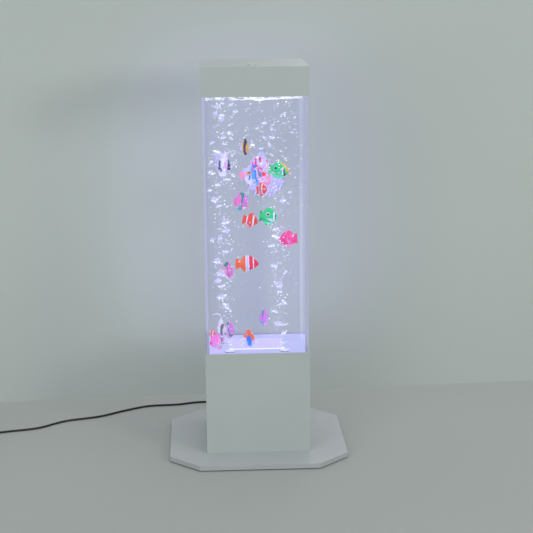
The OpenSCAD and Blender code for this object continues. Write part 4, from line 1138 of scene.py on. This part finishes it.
def paint_maps(bm, low, high):
    """Each point's share of the length and height, and how thin the body is there."""
    side = bm.loops.layers.uv.new("side")
    fin = bm.loops.layers.uv.new("fin")
    for face in bm.faces:
        for loop in face.loops:
            p = loop.vert.co
            loop[side].uv = ((p.x - low.x) / (high.x - low.x), (p.z - low.z) / (high.z - low.z))
            loop[fin].uv = (min(1, abs(p.y) / (2 * FIN_EDGE)), 0)


def fish(number):
    name = f"fish_{number:02d}"
    base, clearness, eye, marks = LOOKS[number]
    heading, tilt = POSES[number]
    turn = Matrix.Rotation(math.radians(heading), 3, "Z") @ Matrix.Rotation(-math.radians(tilt), 3, "Y")
    centre = sum(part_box(name), Vector()) / 2
    bm, (low, high) = smooth_copy(name, turn, centre)
    add_eyes(bm, low, high, eye)
    add_side_fins(bm, low, high, *SIDE_FINS.get(number, SHORT_FINS))
    for thread in THREADS.get(number, ()):
        add_thread(bm, low, high, turn, *thread)
    for outline in FANS.get(number, ()):
        add_fan(bm, low, high, outline)
    paint_maps(bm, low, high)
    bm.transform(Matrix.Translation(centre) @ turn.to_4x4())
    paint = fish_material(number, base, clearness, marks)
    ring = eye[3] if len(eye) > 3 else MILK
    materials = [paint, EYE, ring_material(ring), FIN, THREAD]
    slot = next(key for key, numbers in SLOTS.items() if number in numbers)
    obj = mesh_object(name + "_painted", bm, materials, body=name)
    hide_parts(name)


for number in LOOKS:
    fish(number)


# ---------- stage and light
def matt_paint(t, colour, drift_to):
    drift = t.noise(0.9, 2, 0.5)
    tone = t.mix(t.step(drift, 0.3, 0.7), colour, drift_to)
    return t.shader(Base_Color=tone, Roughness=0.6, Specular_IOR_Level=0.2)


def floor_material(name, colour, drift_to):
    t = Tree(name)
    return t.end(matt_paint(t, colour, drift_to))


def wall_material(name, colour, drift_to):
    """A wall that shows from the lamp's side only and lets the studio light through."""
    t = Tree(name)
    paint = matt_paint(t, colour, drift_to)
    path = t.add("LightPath")
    seen = t.math("MAXIMUM", path.outputs["Is Camera Ray"], path.outputs["Is Transmission Ray"])
    front = t.math("SUBTRACT", 1.0, t.add("NewGeometry").outputs["Backfacing"])
    return t.end(t.blend(t.times(seen, front), t.see_through(), paint))


def plane(name, corners, material):
    mesh = bpy.data.meshes.new(name)
    mesh.from_pydata([tuple(c) for c in corners], [], [(0, 1, 2, 3)])
    mesh.materials.append(material)
    obj = bpy.data.objects.new(name, mesh)
    DRAW.link(obj)


FLOOR = 9
WALL_LEFT, WALL_RIGHT = Vector((-3.0, 0.147, 0)), Vector((3.0, 0.497, 0))
WALL_HEIGHT = Vector((0, 0, 3))


def stage():
    plane(
        "floor", [(-FLOOR, -FLOOR, 0), (FLOOR, -FLOOR, 0), (FLOOR, FLOOR, 0), (-FLOOR, FLOOR, 0)],
        floor_material("floor_matt", srgb(177, 181, 176), srgb(172, 177, 172)),
    )
    plane(
        "wall", [WALL_LEFT, WALL_RIGHT, WALL_RIGHT + WALL_HEIGHT, WALL_LEFT + WALL_HEIGHT],
        wall_material("wall_matt", srgb(195, 203, 197), srgb(189, 197, 193)),
    )


def area(name, at, to, size, power, colour, mirrored=True, spread=180):
    """A rectangular lamp at one point that faces another, hidden from the camera and from sight through
    glass, and from reflections unless mirrored.
    """
    lamp = bpy.data.lights.new(name, "AREA")
    lamp.spread = math.radians(spread)
    lamp.shape = "RECTANGLE"
    lamp.size, lamp.size_y = size
    lamp.energy = power
    lamp.color = colour
    obj = bpy.data.objects.new(name, lamp)
    obj.location = at
    obj.rotation_euler = (Vector(to) - Vector(at)).to_track_quat("-Z", "Y").to_euler()
    obj.visible_camera = False
    obj.visible_transmission = False
    obj.visible_glossy = mirrored
    DRAW.link(obj)


def light():
    world = bpy.data.worlds.new("studio")
    world.use_nodes = True
    sky = world.node_tree.nodes["Background"]
    sky.inputs["Color"].default_value = (0.93, 0.97, 1.0, 1)
    sky.inputs["Strength"].default_value = 0.53
    SCENE.world = world
    area("key", (2.2, -2.5, 1.3), (0, 0, 0.6), (0.6, 0.6), 21, (1.0, 0.98, 0.95))
    area("fill", (-1.8, -2.6, 1.3), (0, 0, 0.3), (2.0, 2.0), 20, (0.98, 0.99, 1.0))
    area("above", (0.4, -0.6, 2.6), (0.1, 0, 0), (1.6, 1.6), 10, (0.98, 0.99, 1.0))
    area("back", (0.9, 2.7, 1.8), (0, 0, 0.5), (1.6, 1.6), 4, (0.98, 0.99, 1.0))
    middle = (TANK_FLOOR + WATER) / 2
    for name, side in (("glow_left", -1), ("glow_right", 1)):
        at = (side * 0.075, 0.088, middle)
        to = (side * 0.14, 1, middle)
        area(name, at, to, (0.03, WATER_DEPTH), 0.4, (0.46, 0.36, 1.0), False, 95)


stage()
light()
SCENE.view_settings.view_transform = "Standard"
